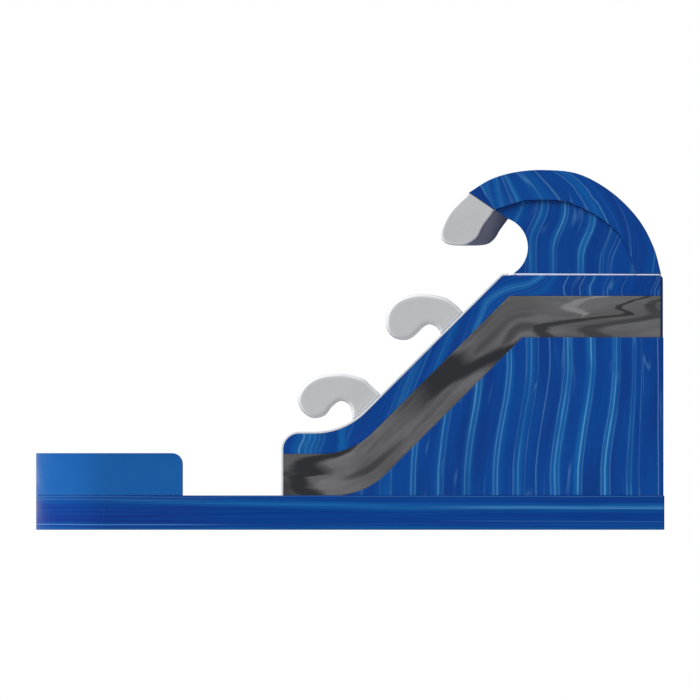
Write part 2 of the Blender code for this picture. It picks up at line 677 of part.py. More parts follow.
def rim_lines():
    """The rim's outer line, its inner line, and the corners of the slanted cut at its front."""
    outer = smooth([crest_point(*share) for share in RIM_OUTER_SHARES], CREST_STEPS)
    start = Vector(outer[-1])
    along = Vector((math.cos(CUT_ANGLE), math.sin(CUT_ANGLE)))
    knee = start + along * (CUT_LENGTH * KNEE_SHARE)
    end = start + along * CUT_LENGTH
    inner = []
    stop = round((len(outer) - 1) * INNER_STOP_SHARE)
    spread_from, spread_to = RIM_SPREAD_SHARES
    for i in range(stop):
        ahead, behind = Vector(outer[i + 1]), Vector(outer[max(i - 1, 0)])
        inward = Vector((behind.y - ahead.y, ahead.x - behind.x)).normalized()
        share = min(1, max(0, (i / stop - spread_from) / (spread_to - spread_from)))
        width = RIM_BACK_WIDTH + (RIM_FRONT_WIDTH - RIM_BACK_WIDTH) * share
        place = Vector(outer[i]) + inward * width
        inner.append((place.x, max(place.y, CREST_BASE) if i else CREST_BASE))
    return outer, inner, (tuple(start), tuple(knee), tuple(end))


def make_canopy():
    """The arched roof with its proud rim, the recessed side panels and the rolled tip."""
    outer, inner, (start, knee, end) = rim_lines()
    outline = [(x, z + SEAT) for x, z in outer[:1]] + outer[1:] + [knee] + inner[:0:-1] + [
        (inner[0][0], inner[0][1] + SEAT)]
    bm = side_plate(outline, -SIDE_Y, SIDE_Y)
    add_skin("wave_roof", open_passage(round_edges(bm, RIM_EDGE), DOWN), "blue_pvc")
    panel = panel_outline(inner, knee, end)
    for name, side in SIDES.items():
        low, high = sorted((side * INNER_Y, side * (SIDE_Y - PANEL_RECESS)))
        bm = side_plate(panel, low, high)
        add_skin(f"{name}_wave_panel", open_passage(round_edges(bm, PANEL_EDGE, 1), DOWN), "blue_pvc")
    make_tip(start, knee, end)


def panel_outline(inner, knee, end):
    """The side panel's outline: under the rim, along the wall and up its hollow front edge."""
    middle = sum((Vector(p) for p in inner), Vector((0, 0))) / len(inner)
    rim = []
    for p in inner[1:] + [knee]:
        toward = (middle - Vector(p)).normalized()
        rim.append(tuple(Vector(p) + toward * PANEL_SEAT))
    bottom = CREST_BASE + SEAT
    foot, top = Vector((PANEL_FOOT_X, bottom)), Vector(end)
    chord = top - foot
    middle_chord = (foot + top) / 2
    hollow = chord.orthogonal().normalized()
    hollow = hollow if hollow.x > 0 else -hollow
    radius = ((chord.length / 2) ** 2 + PANEL_BULGE ** 2) / (2 * PANEL_BULGE)
    centre = middle_chord + hollow * (PANEL_BULGE - radius)
    first, last = foot - centre, top - centre
    turn = math.atan2(first.x * last.y - first.y * last.x, first.dot(last))
    front = arc(centre, radius, math.atan2(first.y, first.x), turn)
    return [(inner[0][0] - SEAT, bottom)] + rim + front[::-1]


def make_tip(start, knee, end):
    """The white lip: thin like the rim at the sides, and full under the middle of the width."""
    normal = Vector((math.sin(CUT_ANGLE), -math.cos(CUT_ANGLE))).normalized()
    shift = normal * SEAT
    beside_knee = Vector(knee).lerp(Vector(start), CUT_SHARE)
    outer = [crest_point(*share) for share in TIP_OUTER_SHARES]
    at_side = outer + [crest_point(*share) for share in TIP_SIDE_SHARES] + [knee, beside_knee, start]
    at_middle = outer + [crest_point(*share) for share in TIP_MIDDLE_SHARES] + [end, knee, start]
    stations = [(0, 0)] + [(PANEL_RECESS + share * TIP_ROLL, share) for share in ROLL_SHARES]
    half = []
    for inset, share in stations:
        full = math.sin(share * math.pi / 2)
        ring = []
        for i, (side_point, middle_point) in enumerate(zip(at_side, at_middle)):
            place = Vector(side_point).lerp(Vector(middle_point), full)
            on_cut = i >= len(outer) + len(TIP_SIDE_SHARES)
            place = place + shift if on_cut else place
            ring.append((place.x, inset - SIDE_Y, place.y))
        half.append(ring)
    rings = half + [[(x, -y, z) for x, y, z in ring] for ring in reversed(half)]
    toward = Vector((-normal.x, 0, -normal.y))
    add_skin("wave_tip", open_passage(loft(rings), toward), "white_pvc")


def trim_height(x):
    """The height of the trim's top line at x."""
    line = trim_top()[2:]
    for (x_low, z_low), (x_high, z_high) in zip(line, line[1:]):
        if x_low <= x <= x_high:
            return z_low + (z_high - z_low) * (x - x_low) / (x_high - x_low)
    return line[-1][1]


def curl_outline(shares, foot_shares, back, drop):
    """A curl's outline, hung from its back end and closed along the trim that it stands on."""
    left = FOOT_X + back - CURL_LENGTH
    level = trim_height(FOOT_X + back) - drop
    points = [(left + u * CURL_LENGTH, level + v * CURL_HEIGHT) for u, v in shares]
    feet = [left + share * CURL_LENGTH for share in foot_shares]
    return points + [(x, trim_height(x) + SEAT) for x in feet]


def make_curls():
    curls = {"lower": curl_outline(LOWER_CURL_SHARES, LOWER_FOOT_SHARES, LOWER_CURL_BACK, LOWER_CURL_DROP),
             "upper": curl_outline(UPPER_CURL_SHARES, UPPER_FOOT_SHARES, UPPER_CURL_BACK, UPPER_CURL_DROP)}
    for name, side in SIDES.items():
        middle = side * (SIDE_Y - WALL_WIDTH / 2)
        for level, outline in curls.items():
            bm = side_plate(outline, middle - CURL_WIDTH / 2, middle + CURL_WIDTH / 2)
            round_edges(bm, CURL_EDGE)
            add_skin(f"{name}_{level}_curl", open_passage(bm, UNDER_SLOPE, CURL_PASSAGE_RIM), "white_pvc")


def add_turned(name, profile, sides, material, place, sheet=0):
    """A shape turned round its own Z axis from a profile of (radius, height), then put in its place."""
    mesh = bpy.data.meshes.new(name)
    closed = profile[0] == profile[-1]
    points = profile[:-1] if closed else profile
    edges = [(i, (i + 1) % len(points)) for i in range(len(points) if closed else len(points) - 1)]
    mesh.from_pydata([(radius, 0, height) for radius, height in points], edges, [])
    mesh.materials.append(finish(material))
    thing = bpy.data.objects.new(name, mesh)
    bpy.data.collections["water_slide"].objects.link(thing)
    screw = thing.modifiers.new("turn", "SCREW")
    screw.axis = "Z"
    screw.steps = sides
    screw.render_steps = sides
    screw.use_merge_vertices = True
    screw.merge_threshold = MERGE
    if sheet:
        skin = thing.modifiers.new("fabric", "SOLIDIFY")
        skin.thickness = sheet
        skin.offset = -1
    thing.matrix_world = place
    return thing


def along_y(x, y, z):
    """A place whose own Z axis points along +Y, away from the far side."""
    return Matrix.Translation((x, y, z)) @ Matrix.Rotation(-math.pi / 2, 4, "X")


def make_inlet():
    """The open sleeve for the blower, with the strap that ties it."""
    end = SLEEVE_LENGTH
    profile = [(SLEEVE_RADIUS + SLEEVE_FLARE, end), (SLEEVE_RADIUS, end - SLEEVE_HEM), (SLEEVE_RADIUS, 0)]
    add_turned("inlet_sleeve", profile, SLEEVE_SIDES, "blue_pvc",
               along_y(SLEEVE_X, SIDE_Y + SEAT, SLEEVE_Z), FABRIC)
    inner = SLEEVE_RADIUS + SEAT
    outer = inner + STRAP_THICK
    ring = [(outer, STRAP_WIDTH), (outer, 0), (inner, 0), (inner, STRAP_WIDTH), (outer, STRAP_WIDTH)]
    add_turned("inlet_strap", ring, SLEEVE_SIDES, "webbing",
               along_y(SLEEVE_X, SIDE_Y + STRAP_PLACE, SLEEVE_Z))


def ribbon(name, path, width, thickness, material, place):
    """A strap: a line of (u, v) points drawn out to a width, with its thickness half on each side."""
    bm = bmesh.new()
    rows = [[bm.verts.new(place @ Vector((u, v, w))) for u, v in path] for w in (-width / 2, width / 2)]
    for i in range(len(path) - 1):
        bm.faces.new((rows[0][i], rows[0][i + 1], rows[1][i + 1], rows[1][i]))
    thing = add_skin(name, bm, material, thickness)
    thing.modifiers["fabric"].offset = 0
    return thing


def end_view(x, y, z):
    """A frame whose own axes are Y, Z and X, at a point."""
    return Matrix.Translation((x, y, z)) @ Matrix(((0, 0, 1, 0), (1, 0, 0, 0), (0, 1, 0, 0), (0, 0, 0, 1)))


def make_zip():
    """The deflation zip: tape and coil, slider, pull and cover flap."""
    face = SIDE_Y + SEAT
    coil = ZIP_Z - COIL_WIDTH / 2, ZIP_Z + COIL_WIDTH / 2
    tape = ZIP_Z - ZIP_WIDTH / 2, ZIP_Z + ZIP_WIDTH / 2
    level = face + ZIP_THICK
    section = [(face, tape[0]), (level, tape[0]), (level, coil[0]), (level + COIL_THICK, coil[0]),
               (level + COIL_THICK, coil[1]), (level, coil[1]), (level, tape[1]), (face, tape[1])]
    add_solid("zip_tape", end_plate(section, ZIP_X, ZIP_X + ZIP_LENGTH), "webbing")
    slot = COIL_WIDTH / 2 + ZIP_CLEARANCE
    half = SLIDER_WIDTH / 2
    low, high = level + ZIP_CLEARANCE, level + ZIP_CLEARANCE + SLIDER_THICK
    roof = level + COIL_THICK + ZIP_CLEARANCE
    section = [(low, ZIP_Z - half), (high, ZIP_Z - half), (high, ZIP_Z + half), (low, ZIP_Z + half),
               (low, ZIP_Z + slot), (roof, ZIP_Z + slot), (roof, ZIP_Z - slot), (low, ZIP_Z - slot)]
    start = ZIP_X + ZIP_MARGIN
    add_solid("zip_slider", end_plate(section, start, start + SLIDER_LENGTH), "brass")
    radius = PULL_THICK / 2
    hinge_y = high + SEAT + radius
    knuckle = arc((hinge_y, ZIP_Z), radius, 0, math.pi)
    outline = knuckle + [(hinge_y - radius, ZIP_Z - PULL_LENGTH), (hinge_y + radius, ZIP_Z - PULL_LENGTH)]
    middle = start + SLIDER_LENGTH / 2
    add_solid("zip_pull", end_plate(outline, middle - PULL_WIDTH / 2, middle + PULL_WIDTH / 2), "brass")
    edge = FLAP_THICK / 2
    path = [(0, 0), (FLAP_STAND, -FLAP_STAND), (FLAP_STAND, FLAP_STAND - FLAP_HEIGHT), (0, -FLAP_HEIGHT)]
    flap_start = start + SLIDER_LENGTH + FLAP_MARGIN
    flap_end = ZIP_X + ZIP_LENGTH + FLAP_MARGIN
    place = end_view((flap_start + flap_end) / 2, face + edge + SEAT, ZIP_Z + FLAP_HEIGHT / 2)
    ribbon("zip_flap", path, flap_end - flap_start, FLAP_THICK, "blue_pvc", place)


def make_anchors():
    """Patches with a sewn loop that holds a steel ring, hanging down."""
    face = SIDE_Y + SEAT
    turn = LOOP_THICK / 2
    back = face + PATCH_THICK + SEAT + turn
    reach = RING_WIRE + LOOP_CLEARANCE + turn
    for i in range(ANCHOR_COUNT):
        x = ANCHOR_X + i * ANCHOR_PITCH
        half, rise = PATCH_WIDTH / 2, PATCH_HEIGHT / 2
        corners = box(x - half, x + half, ANCHOR_Z - rise, ANCHOR_Z + rise)
        outline = rounded([corner + (PATCH_CORNER,) for corner in corners])
        add_solid(f"anchor_patch_{i + 1}", side_plate(outline, face, face + PATCH_THICK), "blue_pvc")
        front = back + LOOP_THICK + LOOP_CLEARANCE
        path = [(back, ANCHOR_Z + LOOP_TAIL)] + arc((back + reach, ANCHOR_Z), reach, math.pi, math.pi)
        path += [(front, ANCHOR_Z + LOOP_PINCH), (front, ANCHOR_Z + LOOP_TAIL)]
        ribbon(f"anchor_loop_{i + 1}", path, LOOP_WIDTH, LOOP_THICK, "webbing", end_view(x, 0, 0))
        half, low = RING_WIDTH / 2, ANCHOR_Z - RING_DROP
        bow = [(x - half, ANCHOR_Z, RING_CORNER), (x + half, ANCHOR_Z, RING_CORNER),
               (x + half, low, RING_DROP / 2), (x - half, low, RING_DROP / 2)]
        line = [(u, back + reach, v) for u, v in rounded(bow)]
        add_wire(f"anchor_ring_{i + 1}", line, RING_WIRE, 1, "steel", True)


def add_wire(name, points, radius, resolution, material, ring=False):
    """A round bar along a line of points, closed into a ring or capped."""
    curve = bpy.data.curves.new(name, "CURVE")
    curve.dimensions = "3D"
    curve.bevel_depth = radius
    curve.bevel_resolution = resolution
    curve.use_fill_caps = not ring
    spline = curve.splines.new("POLY")
    spline.points.add(len(points) - 1)
    for point, place in zip(spline.points, points):
        point.co = (*place, 1)
    spline.use_cyclic_u = ring
    curve.materials.append(finish(material))
    thing = bpy.data.objects.new(name, curve)
    bpy.data.collections["water_slide"].objects.link(thing)
    return thing


def feed_frame():
    """The roof facet over the spray pipe: its middle, its tangent and its normal, which points down."""
    inner = rim_lines()[1]
    facets = [(Vector(p), Vector(q)) for p, q in zip(inner, inner[1:])]
    p, q = min(facets, key=lambda facet: abs((facet[0].x + facet[1].x) / 2 - PIPE_X))
    along = (q - p).normalized()
    normal = Vector((-along.y, along.x))
    return (p + q) / 2, along, normal if normal.y < 0 else -normal


def make_feed():
    """The spray pipe with its nozzles and saddles, the valve with its lever, and the hose coupling."""
    middle, along, normal = feed_frame()
    drop = PIPE_DROP + PIPE_RADIUS
    x, z = middle + normal * drop
    valve_end = INNER_Y - VALVE_INSET
    valve_start = valve_end - VALVE_LENGTH
    start = SLIDE_Y[0] + PIPE_INSET
    length = valve_start - start - SEAT
    profile = [(0, length), (PIPE_RADIUS, length), (PIPE_RADIUS, 0), (0, 0)]
    pipe = add_turned("spray_pipe", profile, PIPE_SIDES, "pipe", along_y(x, start, z))
    for i in range(NOZZLE_COUNT):
        place = start + length * (i + 1) / (NOZZLE_COUNT + 1)
        add_nozzle(pipe, i, x, place, z)
    reach = PIPE_RADIUS + SEAT + SADDLE_THICK / 2
    foot = drop - SEAT - SADDLE_THICK / 2
    path = [(-reach - SADDLE_FOOT, -foot), (-reach, -foot)] + arc((0, 0), reach, math.pi, -math.pi)
    path = [(u, -v) for u, v in path] + [(reach, foot), (reach + SADDLE_FOOT, foot)]
    frame = Matrix(((along.x, -normal.x, 0, x), (0, 0, 1, 0), (along.y, -normal.y, 0, z), (0, 0, 0, 1)))
    for i, y in enumerate((start + SADDLE_INSET, start + length - SADDLE_INSET)):
        ribbon(f"pipe_saddle_{i + 1}", path, SADDLE_WIDTH, SADDLE_THICK, "webbing",
               Matrix.Translation((0, y, 0)) @ frame)
    make_valve(x, valve_start, z)


def add_nozzle(pipe, index, x, y, z):
    """Join one nozzle, which points down, to the pipe."""
    depth = NOZZLE_LENGTH + PIPE_RADIUS
    bpy.ops.mesh.primitive_cylinder_add(vertices=NOZZLE_SIDES, radius=NOZZLE_RADIUS, depth=depth,
                                        location=(x, y, z - depth / 2))
    nozzle = bpy.context.object
    nozzle.name = f"nozzle_{index + 1}"
    put_with_cutters(nozzle)
    join = pipe.modifiers.new(nozzle.name, "BOOLEAN")
    join.object = nozzle
    join.operation = "UNION"


def make_valve(x, y, z):
    """The valve's turned body with its neck and flange, its lever, and the collar on the neck."""
    shoulder = VALVE_LENGTH
    tip = shoulder + NECK_LENGTH
    bevel = VALVE_RADIUS - PIPE_RADIUS
    flange = NECK_RADIUS + COUPLING_CLEARANCE + COUPLING_WALL / 2
    profile = [(0, tip + FLANGE_THICK), (flange, tip + FLANGE_THICK), (flange, tip), (NECK_RADIUS, tip),
               (NECK_RADIUS, shoulder), (PIPE_RADIUS, shoulder), (VALVE_RADIUS, shoulder - bevel),
               (VALVE_RADIUS, bevel), (PIPE_RADIUS, 0), (0, 0)]
    add_turned("valve_body", profile, PIPE_SIDES, "brass", along_y(x, y, z))
    inner = NECK_RADIUS + COUPLING_CLEARANCE
    outer = inner + COUPLING_WALL
    collar = NECK_LENGTH - 2 * SEAT
    ring = [(outer, collar), (outer, 0), (inner, 0), (inner, collar), (outer, collar)]
    add_turned("hose_coupling", ring, PIPE_SIDES, "pipe", along_y(x, y + shoulder + SEAT, z))
    top = z - VALVE_RADIUS - SEAT
    low = top - STEM_HEIGHT
    centre = y + VALVE_LENGTH / 2
    outline = [(centre + STEM_WIDTH / 2, top), (centre - STEM_WIDTH / 2, top), (centre - STEM_WIDTH / 2, low),
               (centre - LEVER_LENGTH, low), (centre - LEVER_LENGTH, low - LEVER_THICK),
               (centre + STEM_WIDTH / 2, low - LEVER_THICK)]
    add_solid("valve_lever", end_plate(outline, x - LEVER_WIDTH / 2, x + LEVER_WIDTH / 2), "lever")


def make_handles():
    """One grab handle on the wall and one on the divider, along the slope."""
    top = (PLATFORM_HEIGHT - BASE_HEIGHT) / math.sin(SLOPE) - HANDLE_DROP
    for name, face, side in (("wall", CLIMB_Y[0], 1), ("divider", CLIMB_Y[1], -1)):
        near, out = face + side * SEAT, face + side * HANDLE_STAND
        shape = [(0, near, 0), (0, out, HANDLE_CORNER), (HANDLE_LENGTH, out, HANDLE_CORNER),
                 (HANDLE_LENGTH, near, 0)]
        points = []
        for distance, y in rounded(shape):
            u, v = slope_point(top - distance, HANDLE_RISE)
            points.append((u, y, v))
        add_wire(f"{name}_handle", points, HANDLE_RADIUS, 1, "webbing")


def main():
    clear_scene()
    for name in ("water_slide", "cutters"):
        bpy.context.scene.collection.children.link(bpy.data.collections.new(name))
    make_base()
    make_pool()
    make_bodies()
    make_walls()
    make_divider()
    make_mats()
    make_steps()
    make_canopy()
    make_curls()
    make_inlet()
    make_zip()
    make_anchors()
    make_feed()
    make_handles()


main()
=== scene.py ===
"""Looks of the inflatable water slide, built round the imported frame. Metres, +Z up."""

import math

import bmesh
import bpy
import numpy as np
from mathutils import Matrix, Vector
from mathutils.geometry import delaunay_2d_cdt


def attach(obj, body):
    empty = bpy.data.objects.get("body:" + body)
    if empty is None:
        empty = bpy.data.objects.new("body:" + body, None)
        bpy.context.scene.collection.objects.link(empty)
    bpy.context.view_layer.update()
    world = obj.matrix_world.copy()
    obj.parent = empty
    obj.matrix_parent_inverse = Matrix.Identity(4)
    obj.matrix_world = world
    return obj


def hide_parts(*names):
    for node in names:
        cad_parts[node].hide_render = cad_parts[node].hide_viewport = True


# Sizes of the CAD part, in the same words as in its source
SEAT = 0.00005
BASE_LENGTH = 10.472
BASE_WIDTH = 4.2
BASE_HEIGHT = 0.573
WALL_WIDTH = 0.45
PLAN_RADIUS = 1.13
POOL_WALL_LENGTH = 2.447
POOL_WALL_RISE = 0.706
POOL_END_RADIUS = 0.18
POOL_FLOOR_THICK = 0.11
POOL_FLOOR_SEAM = 0.035
POOL_FLOOR_CHANNELS = 7
ENTRY_GAP = 1.638
RUNOUT_LENGTH = 1.385
RUNOUT_RADIUS = 1.2
SLOPE = math.radians(45)
PLATFORM_HEIGHT = 3.208
BREAK_RADIUS = 0.08
BODY_INSET = 0.015
BODY_TIP = 0.01
LOWER_RISE = 0.69
LOWER_SLOPE_RISE = 0.641
UPPER_RISE = 1.03
UPPER_SLOPE_RISE = 0.96
TRIM_THICK = 0.036
TRIM_CORNER_RADIUS = 0.3
WALL_END_INSET = 0.063
BACK_WALL_INSET = 0.023
CLIMB_WIDTH = 1.15
DIVIDER_WIDTH = 0.4
DIVIDER_RISE = 0.55
DIVIDER_SLOPE_RISE = 0.5
DIVIDER_NOSE_RADIUS = 0.25
MAT_THICK = 0.12
CHANNEL_COUNT = 5
CHANNEL_SEAM = 0.05
STEP_COUNT = 6
STEP_RADIUS = 0.13
STEP_FIRST = 0.66
STEP_PITCH = 0.55
STEP_INSET = 0.05
CREST_INSET = 0.048
CREST_REACH = 3.685
CREST_RISE = 1.76
RIM_BACK_WIDTH = 0.41
RIM_FRONT_WIDTH = 0.5
CUT_LENGTH = 0.787
CUT_ANGLE = math.radians(-34.2)
PANEL_RECESS = 0.06
PANEL_FOOT_INSET = 0.223
PANEL_BULGE = 0.32
PANEL_SEAT = 0.0001
TIP_ROLL = 0.42
CURL_LENGTH = 1.32
CURL_HEIGHT = 0.77
CURL_WIDTH = 0.33
LOWER_CURL_BACK = 1.6
UPPER_CURL_BACK = 3.066
LOWER_CURL_DROP = 0.351
UPPER_CURL_DROP = 0.5
SLEEVE_INSET = 1.236
SLEEVE_Z = 0.24
SLEEVE_RADIUS = 0.16
SLEEVE_LENGTH = 0.7
SLEEVE_FLARE = 0.02
SLEEVE_HEM = 0.08
STRAP_WIDTH = 0.045
STRAP_THICK = 0.003
STRAP_PLACE = 0.43
ZIP_INSET = 4.036
ZIP_Z = 0.3
ZIP_LENGTH = 1.1
ZIP_WIDTH = 0.06
ZIP_THICK = 0.002
COIL_WIDTH = 0.008
COIL_THICK = 0.003
ZIP_MARGIN = 0.04
SLIDER_LENGTH = 0.032
FLAP_HEIGHT = 0.15
FLAP_MARGIN = 0.05
FLAP_STAND = 0.024
FLAP_THICK = 0.002
ANCHOR_COUNT = 3
ANCHOR_INSET = 1.936
ANCHOR_PITCH = 3.0
ANCHOR_Z = 0.2
PATCH_WIDTH = 0.2
PATCH_HEIGHT = 0.16
PATCH_THICK = 0.003
PATCH_CORNER = 0.03
LOOP_WIDTH = 0.045
LOOP_THICK = 0.003
LOOP_TAIL = 0.055
LOOP_CLEARANCE = 0.0015
LOOP_PINCH = 0.013
RING_WIRE = 0.0035
PIPE_REACH = 2.088
PIPE_RADIUS = 0.017
PIPE_DROP = 0.03
PIPE_INSET = 0.15
SADDLE_WIDTH = 0.05
SADDLE_THICK = 0.003
SADDLE_FOOT = 0.05
SADDLE_INSET = 0.3
VALVE_LENGTH = 0.08
VALVE_INSET = 0.22
HANDLE_DROP = 0.486
HANDLE_LENGTH = 0.34
HANDLE_STAND = 0.07
HANDLE_RADIUS = 0.016
HANDLE_RISE = 0.32
HANDLE_CORNER = 0.05

RIM_OUTER_SHARES = ((0.0, 0.0), (0.0352, 0.267), (0.106, 0.539), (0.226, 0.79), (0.375, 0.962),
                    (0.5325, 1.0), (0.665, 0.978), (0.775, 0.909), (0.87, 0.788))
TIP_OUTER_SHARES = ((0.917, 0.703), (0.961, 0.599), (0.99, 0.485), (1.0, 0.4), (0.991, 0.333),
                    (0.968, 0.298), (0.936, 0.284))
TIP_SIDE_SHARES = ((0.892, 0.288), (0.853, 0.33), (0.831, 0.373), (0.809, 0.464), (0.78, 0.547))
TIP_MIDDLE_SHARES = ((0.88, 0.282), (0.8165, 0.286), (0.78, 0.305), (0.7515, 0.358), (0.7297, 0.434))
KNEE_SHARE = 0.66
INNER_STOP_SHARE = 0.8
RIM_SPREAD_SHARES = (0.31, 0.54)
UPPER_CURL_SHARES = ((0.896, 0.742), (0.742, 0.918), (0.472, 1.0), (0.279, 0.963), (0.1275, 0.844),
                     (0.033, 0.649), (0.0, 0.411), (0.02, 0.195), (0.111, 0.043), (0.227, 0.0),
                     (0.317, 0.039), (0.408, 0.169), (0.472, 0.279), (0.549, 0.34), (0.626, 0.297),
                     (0.683, 0.195))
LOWER_CURL_SHARES = ((0.975, 0.64), (0.91, 0.745), (0.84, 0.855), (0.76, 0.915), (0.64, 0.965),
                     (0.5, 0.99), (0.26, 0.93), (0.1, 0.77), (0.012, 0.55), (0.0, 0.37),
                     (0.045, 0.19), (0.13, 0.06), (0.22, 0.02), (0.34, 0.08), (0.425, 0.26),
                     (0.53, 0.39), (0.63, 0.34), (0.672, 0.22), (0.679, 0.12))
UPPER_FOOT_SHARES = (0.69, 0.77, 0.84, 0.91, 0.975)
LOWER_FOOT_SHARES = (0.69, 0.78, 0.87, 0.96, 1.045)

FRONT_X = -BASE_LENGTH / 2
BACK_X = BASE_LENGTH / 2
SIDE_Y = BASE_WIDTH / 2
INNER_Y = SIDE_Y - WALL_WIDTH
BEAM_X = FRONT_X + PLAN_RADIUS
FOOT_X = FRONT_X + POOL_WALL_LENGTH + ENTRY_GAP
SLOPE_X = FOOT_X + RUNOUT_LENGTH
BREAK_X = SLOPE_X + (PLATFORM_HEIGHT - BASE_HEIGHT) / math.tan(SLOPE)
PANEL_FOOT_X = BREAK_X - PANEL_FOOT_INSET
BODY_BACK_X = BACK_X - BODY_INSET
WALL_END_X = BACK_X - WALL_END_INSET
BACK_WALL_X = BACK_X - BACK_WALL_INSET
DECK_HEIGHT = BASE_HEIGHT - MAT_THICK
CREST_BACK_X = BACK_X - CREST_INSET
CREST_BASE = PLATFORM_HEIGHT + UPPER_RISE
SLEEVE_X = BACK_X - SLEEVE_INSET
ZIP_X = BACK_X - ZIP_INSET
ANCHOR_X = FRONT_X + ANCHOR_INSET
PIPE_X = CREST_BACK_X - PIPE_REACH
CLIMB_Y = (-INNER_Y, -INNER_Y + CLIMB_WIDTH)
DIVIDER_Y = (CLIMB_Y[1], CLIMB_Y[1] + DIVIDER_WIDTH)
SLIDE_Y = (DIVIDER_Y[1], INNER_Y)
SIDES = {"near": -1, "far": 1}

# How fine the shapes are
ARC_STEP = math.radians(5)
MERGE = 0.0001
SPACING = 0.07
GRID = 0.13
ROUND_STEPS = 5
ROW_DEPTHS = (0.035, 0.08, 0.15)
GRID_DEPTH = 0.2
FINE_CELL = 0.003
COARSE_CELL = 0.03
LEAST_DEPTH_SHARE = 0.93
WIDTH_STEP = 0.12
PATH_STEP = 0.09
NEAR_ZERO = 1e-12

# How round the skins are at their seams, and how far they draw in there
DRAW_REACH = 0.13
SKIN_DRAW = 0.006
WALL_ROUND = 0.008
WALL_DRAW = 0.002
TUBE_ROUND = 0.01
CORE_ROUND = 0.02
DECK_ROUND = 0.03
PAD_ROUND = 0.045
PAD_DRAW = 0.008
PAD_CORNER = 0.06
ROOF_ROUND = 0.014
FULL_ROUND = 0.07
STEP_ROUND = 0.04
FIRM_DRAW = 0.003
PATCH_ROUND = 0.0012


# ---- lines in the side view and the plan

def arc(centre, radius, start, turn):
    steps = max(1, round(abs(turn) / ARC_STEP))
    angles = [start + turn * i / steps for i in range(steps + 1)]
    return [(centre[0] + radius * math.cos(a), centre[1] + radius * math.sin(a)) for a in angles]


def arc_between(centre, radius, first, last):
    """The arc from one way out of the centre to another, the short way round."""
    turn = math.atan2(first.x * last.y - first.y * last.x, first.dot(last))
    return arc(centre, radius, math.atan2(first.y, first.x), turn)


def rounded(corners):
    """Turn corners (u, v, radius) into a line of points, with an arc at each corner that has a radius."""
    points = []
    for i, (u, v, radius) in enumerate(corners):
        if not radius:
            points.append((u, v))
            continue
        here = Vector((u, v))
        before = (Vector(corners[i - 1][:2]) - here).normalized()
        after = (Vector(corners[(i + 1) % len(corners)][:2]) - here).normalized()
        half = before.angle(after) / 2
        centre = here + (before + after).normalized() * (radius / math.sin(half))
        first = here + before * (radius / math.tan(half)) - centre
        last = here + after * (radius / math.tan(half)) - centre
        points += arc_between(centre, radius, first, last)
    return points


def smooth(points, steps):
    """Points of a smooth curve through the given ones, with the given steps in each span."""
    knots = [Vector(p) for p in points]
    knots = [knots[0] * 2 - knots[1]] + knots + [knots[-1] * 2 - knots[-2]]
    curve = []
    for a, b, c, d in zip(knots, knots[1:], knots[2:], knots[3:]):
        for t in [i / steps for i in range(steps)]:
            bend = (a * 2 - b * 5 + c * 4 - d) * (t ** 2 / 2) + (b * 3 - a - c * 3 + d) * (t ** 3 / 2)
            curve.append(b + (c - a) * (t / 2) + bend)
    return [tuple(p) for p in curve + [knots[-2]]]


def soft_box(u_low, u_high, v_low, v_high, radius):
    return rounded([(u_low, v_low, radius), (u_high, v_low, radius), (u_high, v_high, radius),
                    (u_low, v_high, radius)])


def lane_corner(height, slope_rise):
    """Where a level line meets the line lifted over the slope."""
    return SLOPE_X + (height - BASE_HEIGHT - slope_rise / math.cos(SLOPE)) / math.tan(SLOPE)


def lane_line(rise, slope_rise, x_from, x_to):
    """The lane's line in the side view, lifted by rise on the flats and slope_rise on the slope."""
    low = BASE_HEIGHT + rise
    high = PLATFORM_HEIGHT + rise
    foot, crown = lane_corner(low, slope_rise), lane_corner(high, slope_rise)
    line = [(x_from, low, 0), (foot, low, RUNOUT_RADIUS)]
    if x_to > crown + BREAK_RADIUS:
        line += [(crown, high, BREAK_RADIUS), (x_to, high, 0)]
    else:
        line.append((x_to, low + (x_to - foot) * math.tan(SLOPE), 0))
    return rounded(line)


def slope_point(distance, lift):
    """A point by its distance up the slope and its height over it."""
    u = SLOPE_X + distance * math.cos(SLOPE) - lift * math.sin(SLOPE)
    return u, BASE_HEIGHT + distance * math.sin(SLOPE) + lift * math.cos(SLOPE)


def lengths(line):
    """How far along the line each of its points is."""
    return np.concatenate(([0], np.cumsum(np.linalg.norm(np.diff(line, axis=0), axis=1))))


def evenly(points, count):
    """The line's points again, at even distances."""
    line = np.array(points, float)
    steps = lengths(line)
    places = np.linspace(0, steps[-1], count)
    return np.stack([np.interp(places, steps, line[:, k]) for k in range(line.shape[1])], axis=1)


def ease(share):
    """A smooth step from 0 to 1."""
    share = np.clip(share, 0, 1)
    return share * share * (3 - 2 * share)


def fall_back(radius, distance):
    """How far a round edge falls back at a distance from its end."""
    return radius - math.sqrt(radius ** 2 - (radius - distance) ** 2) if distance < radius else 0.0


def clockwise(line):
    ahead = np.roll(line, -1, axis=0)
    return np.sum(line[:, 0] * ahead[:, 1] - ahead[:, 0] * line[:, 1]) < 0


# ---- meshes

def tidy_outline(points):
    """The outline without doubled points, anticlockwise, with no long edges."""
    kept = []
    for p in points:
        if not kept or math.dist(p, kept[-1]) > MERGE:
            kept.append(tuple(p))
    if math.dist(kept[0], kept[-1]) < MERGE:
        kept.pop()
    if clockwise(np.array(kept)):
        kept.reverse()
    full = []
    for p, q in zip(kept, kept[1:] + kept[:1]):
        parts = max(1, math.ceil(math.dist(p, q) / SPACING))
        full += [(p[0] + (q[0] - p[0]) * i / parts, p[1] + (q[1] - p[1]) * i / parts) for i in range(parts)]
    return np.array(full)


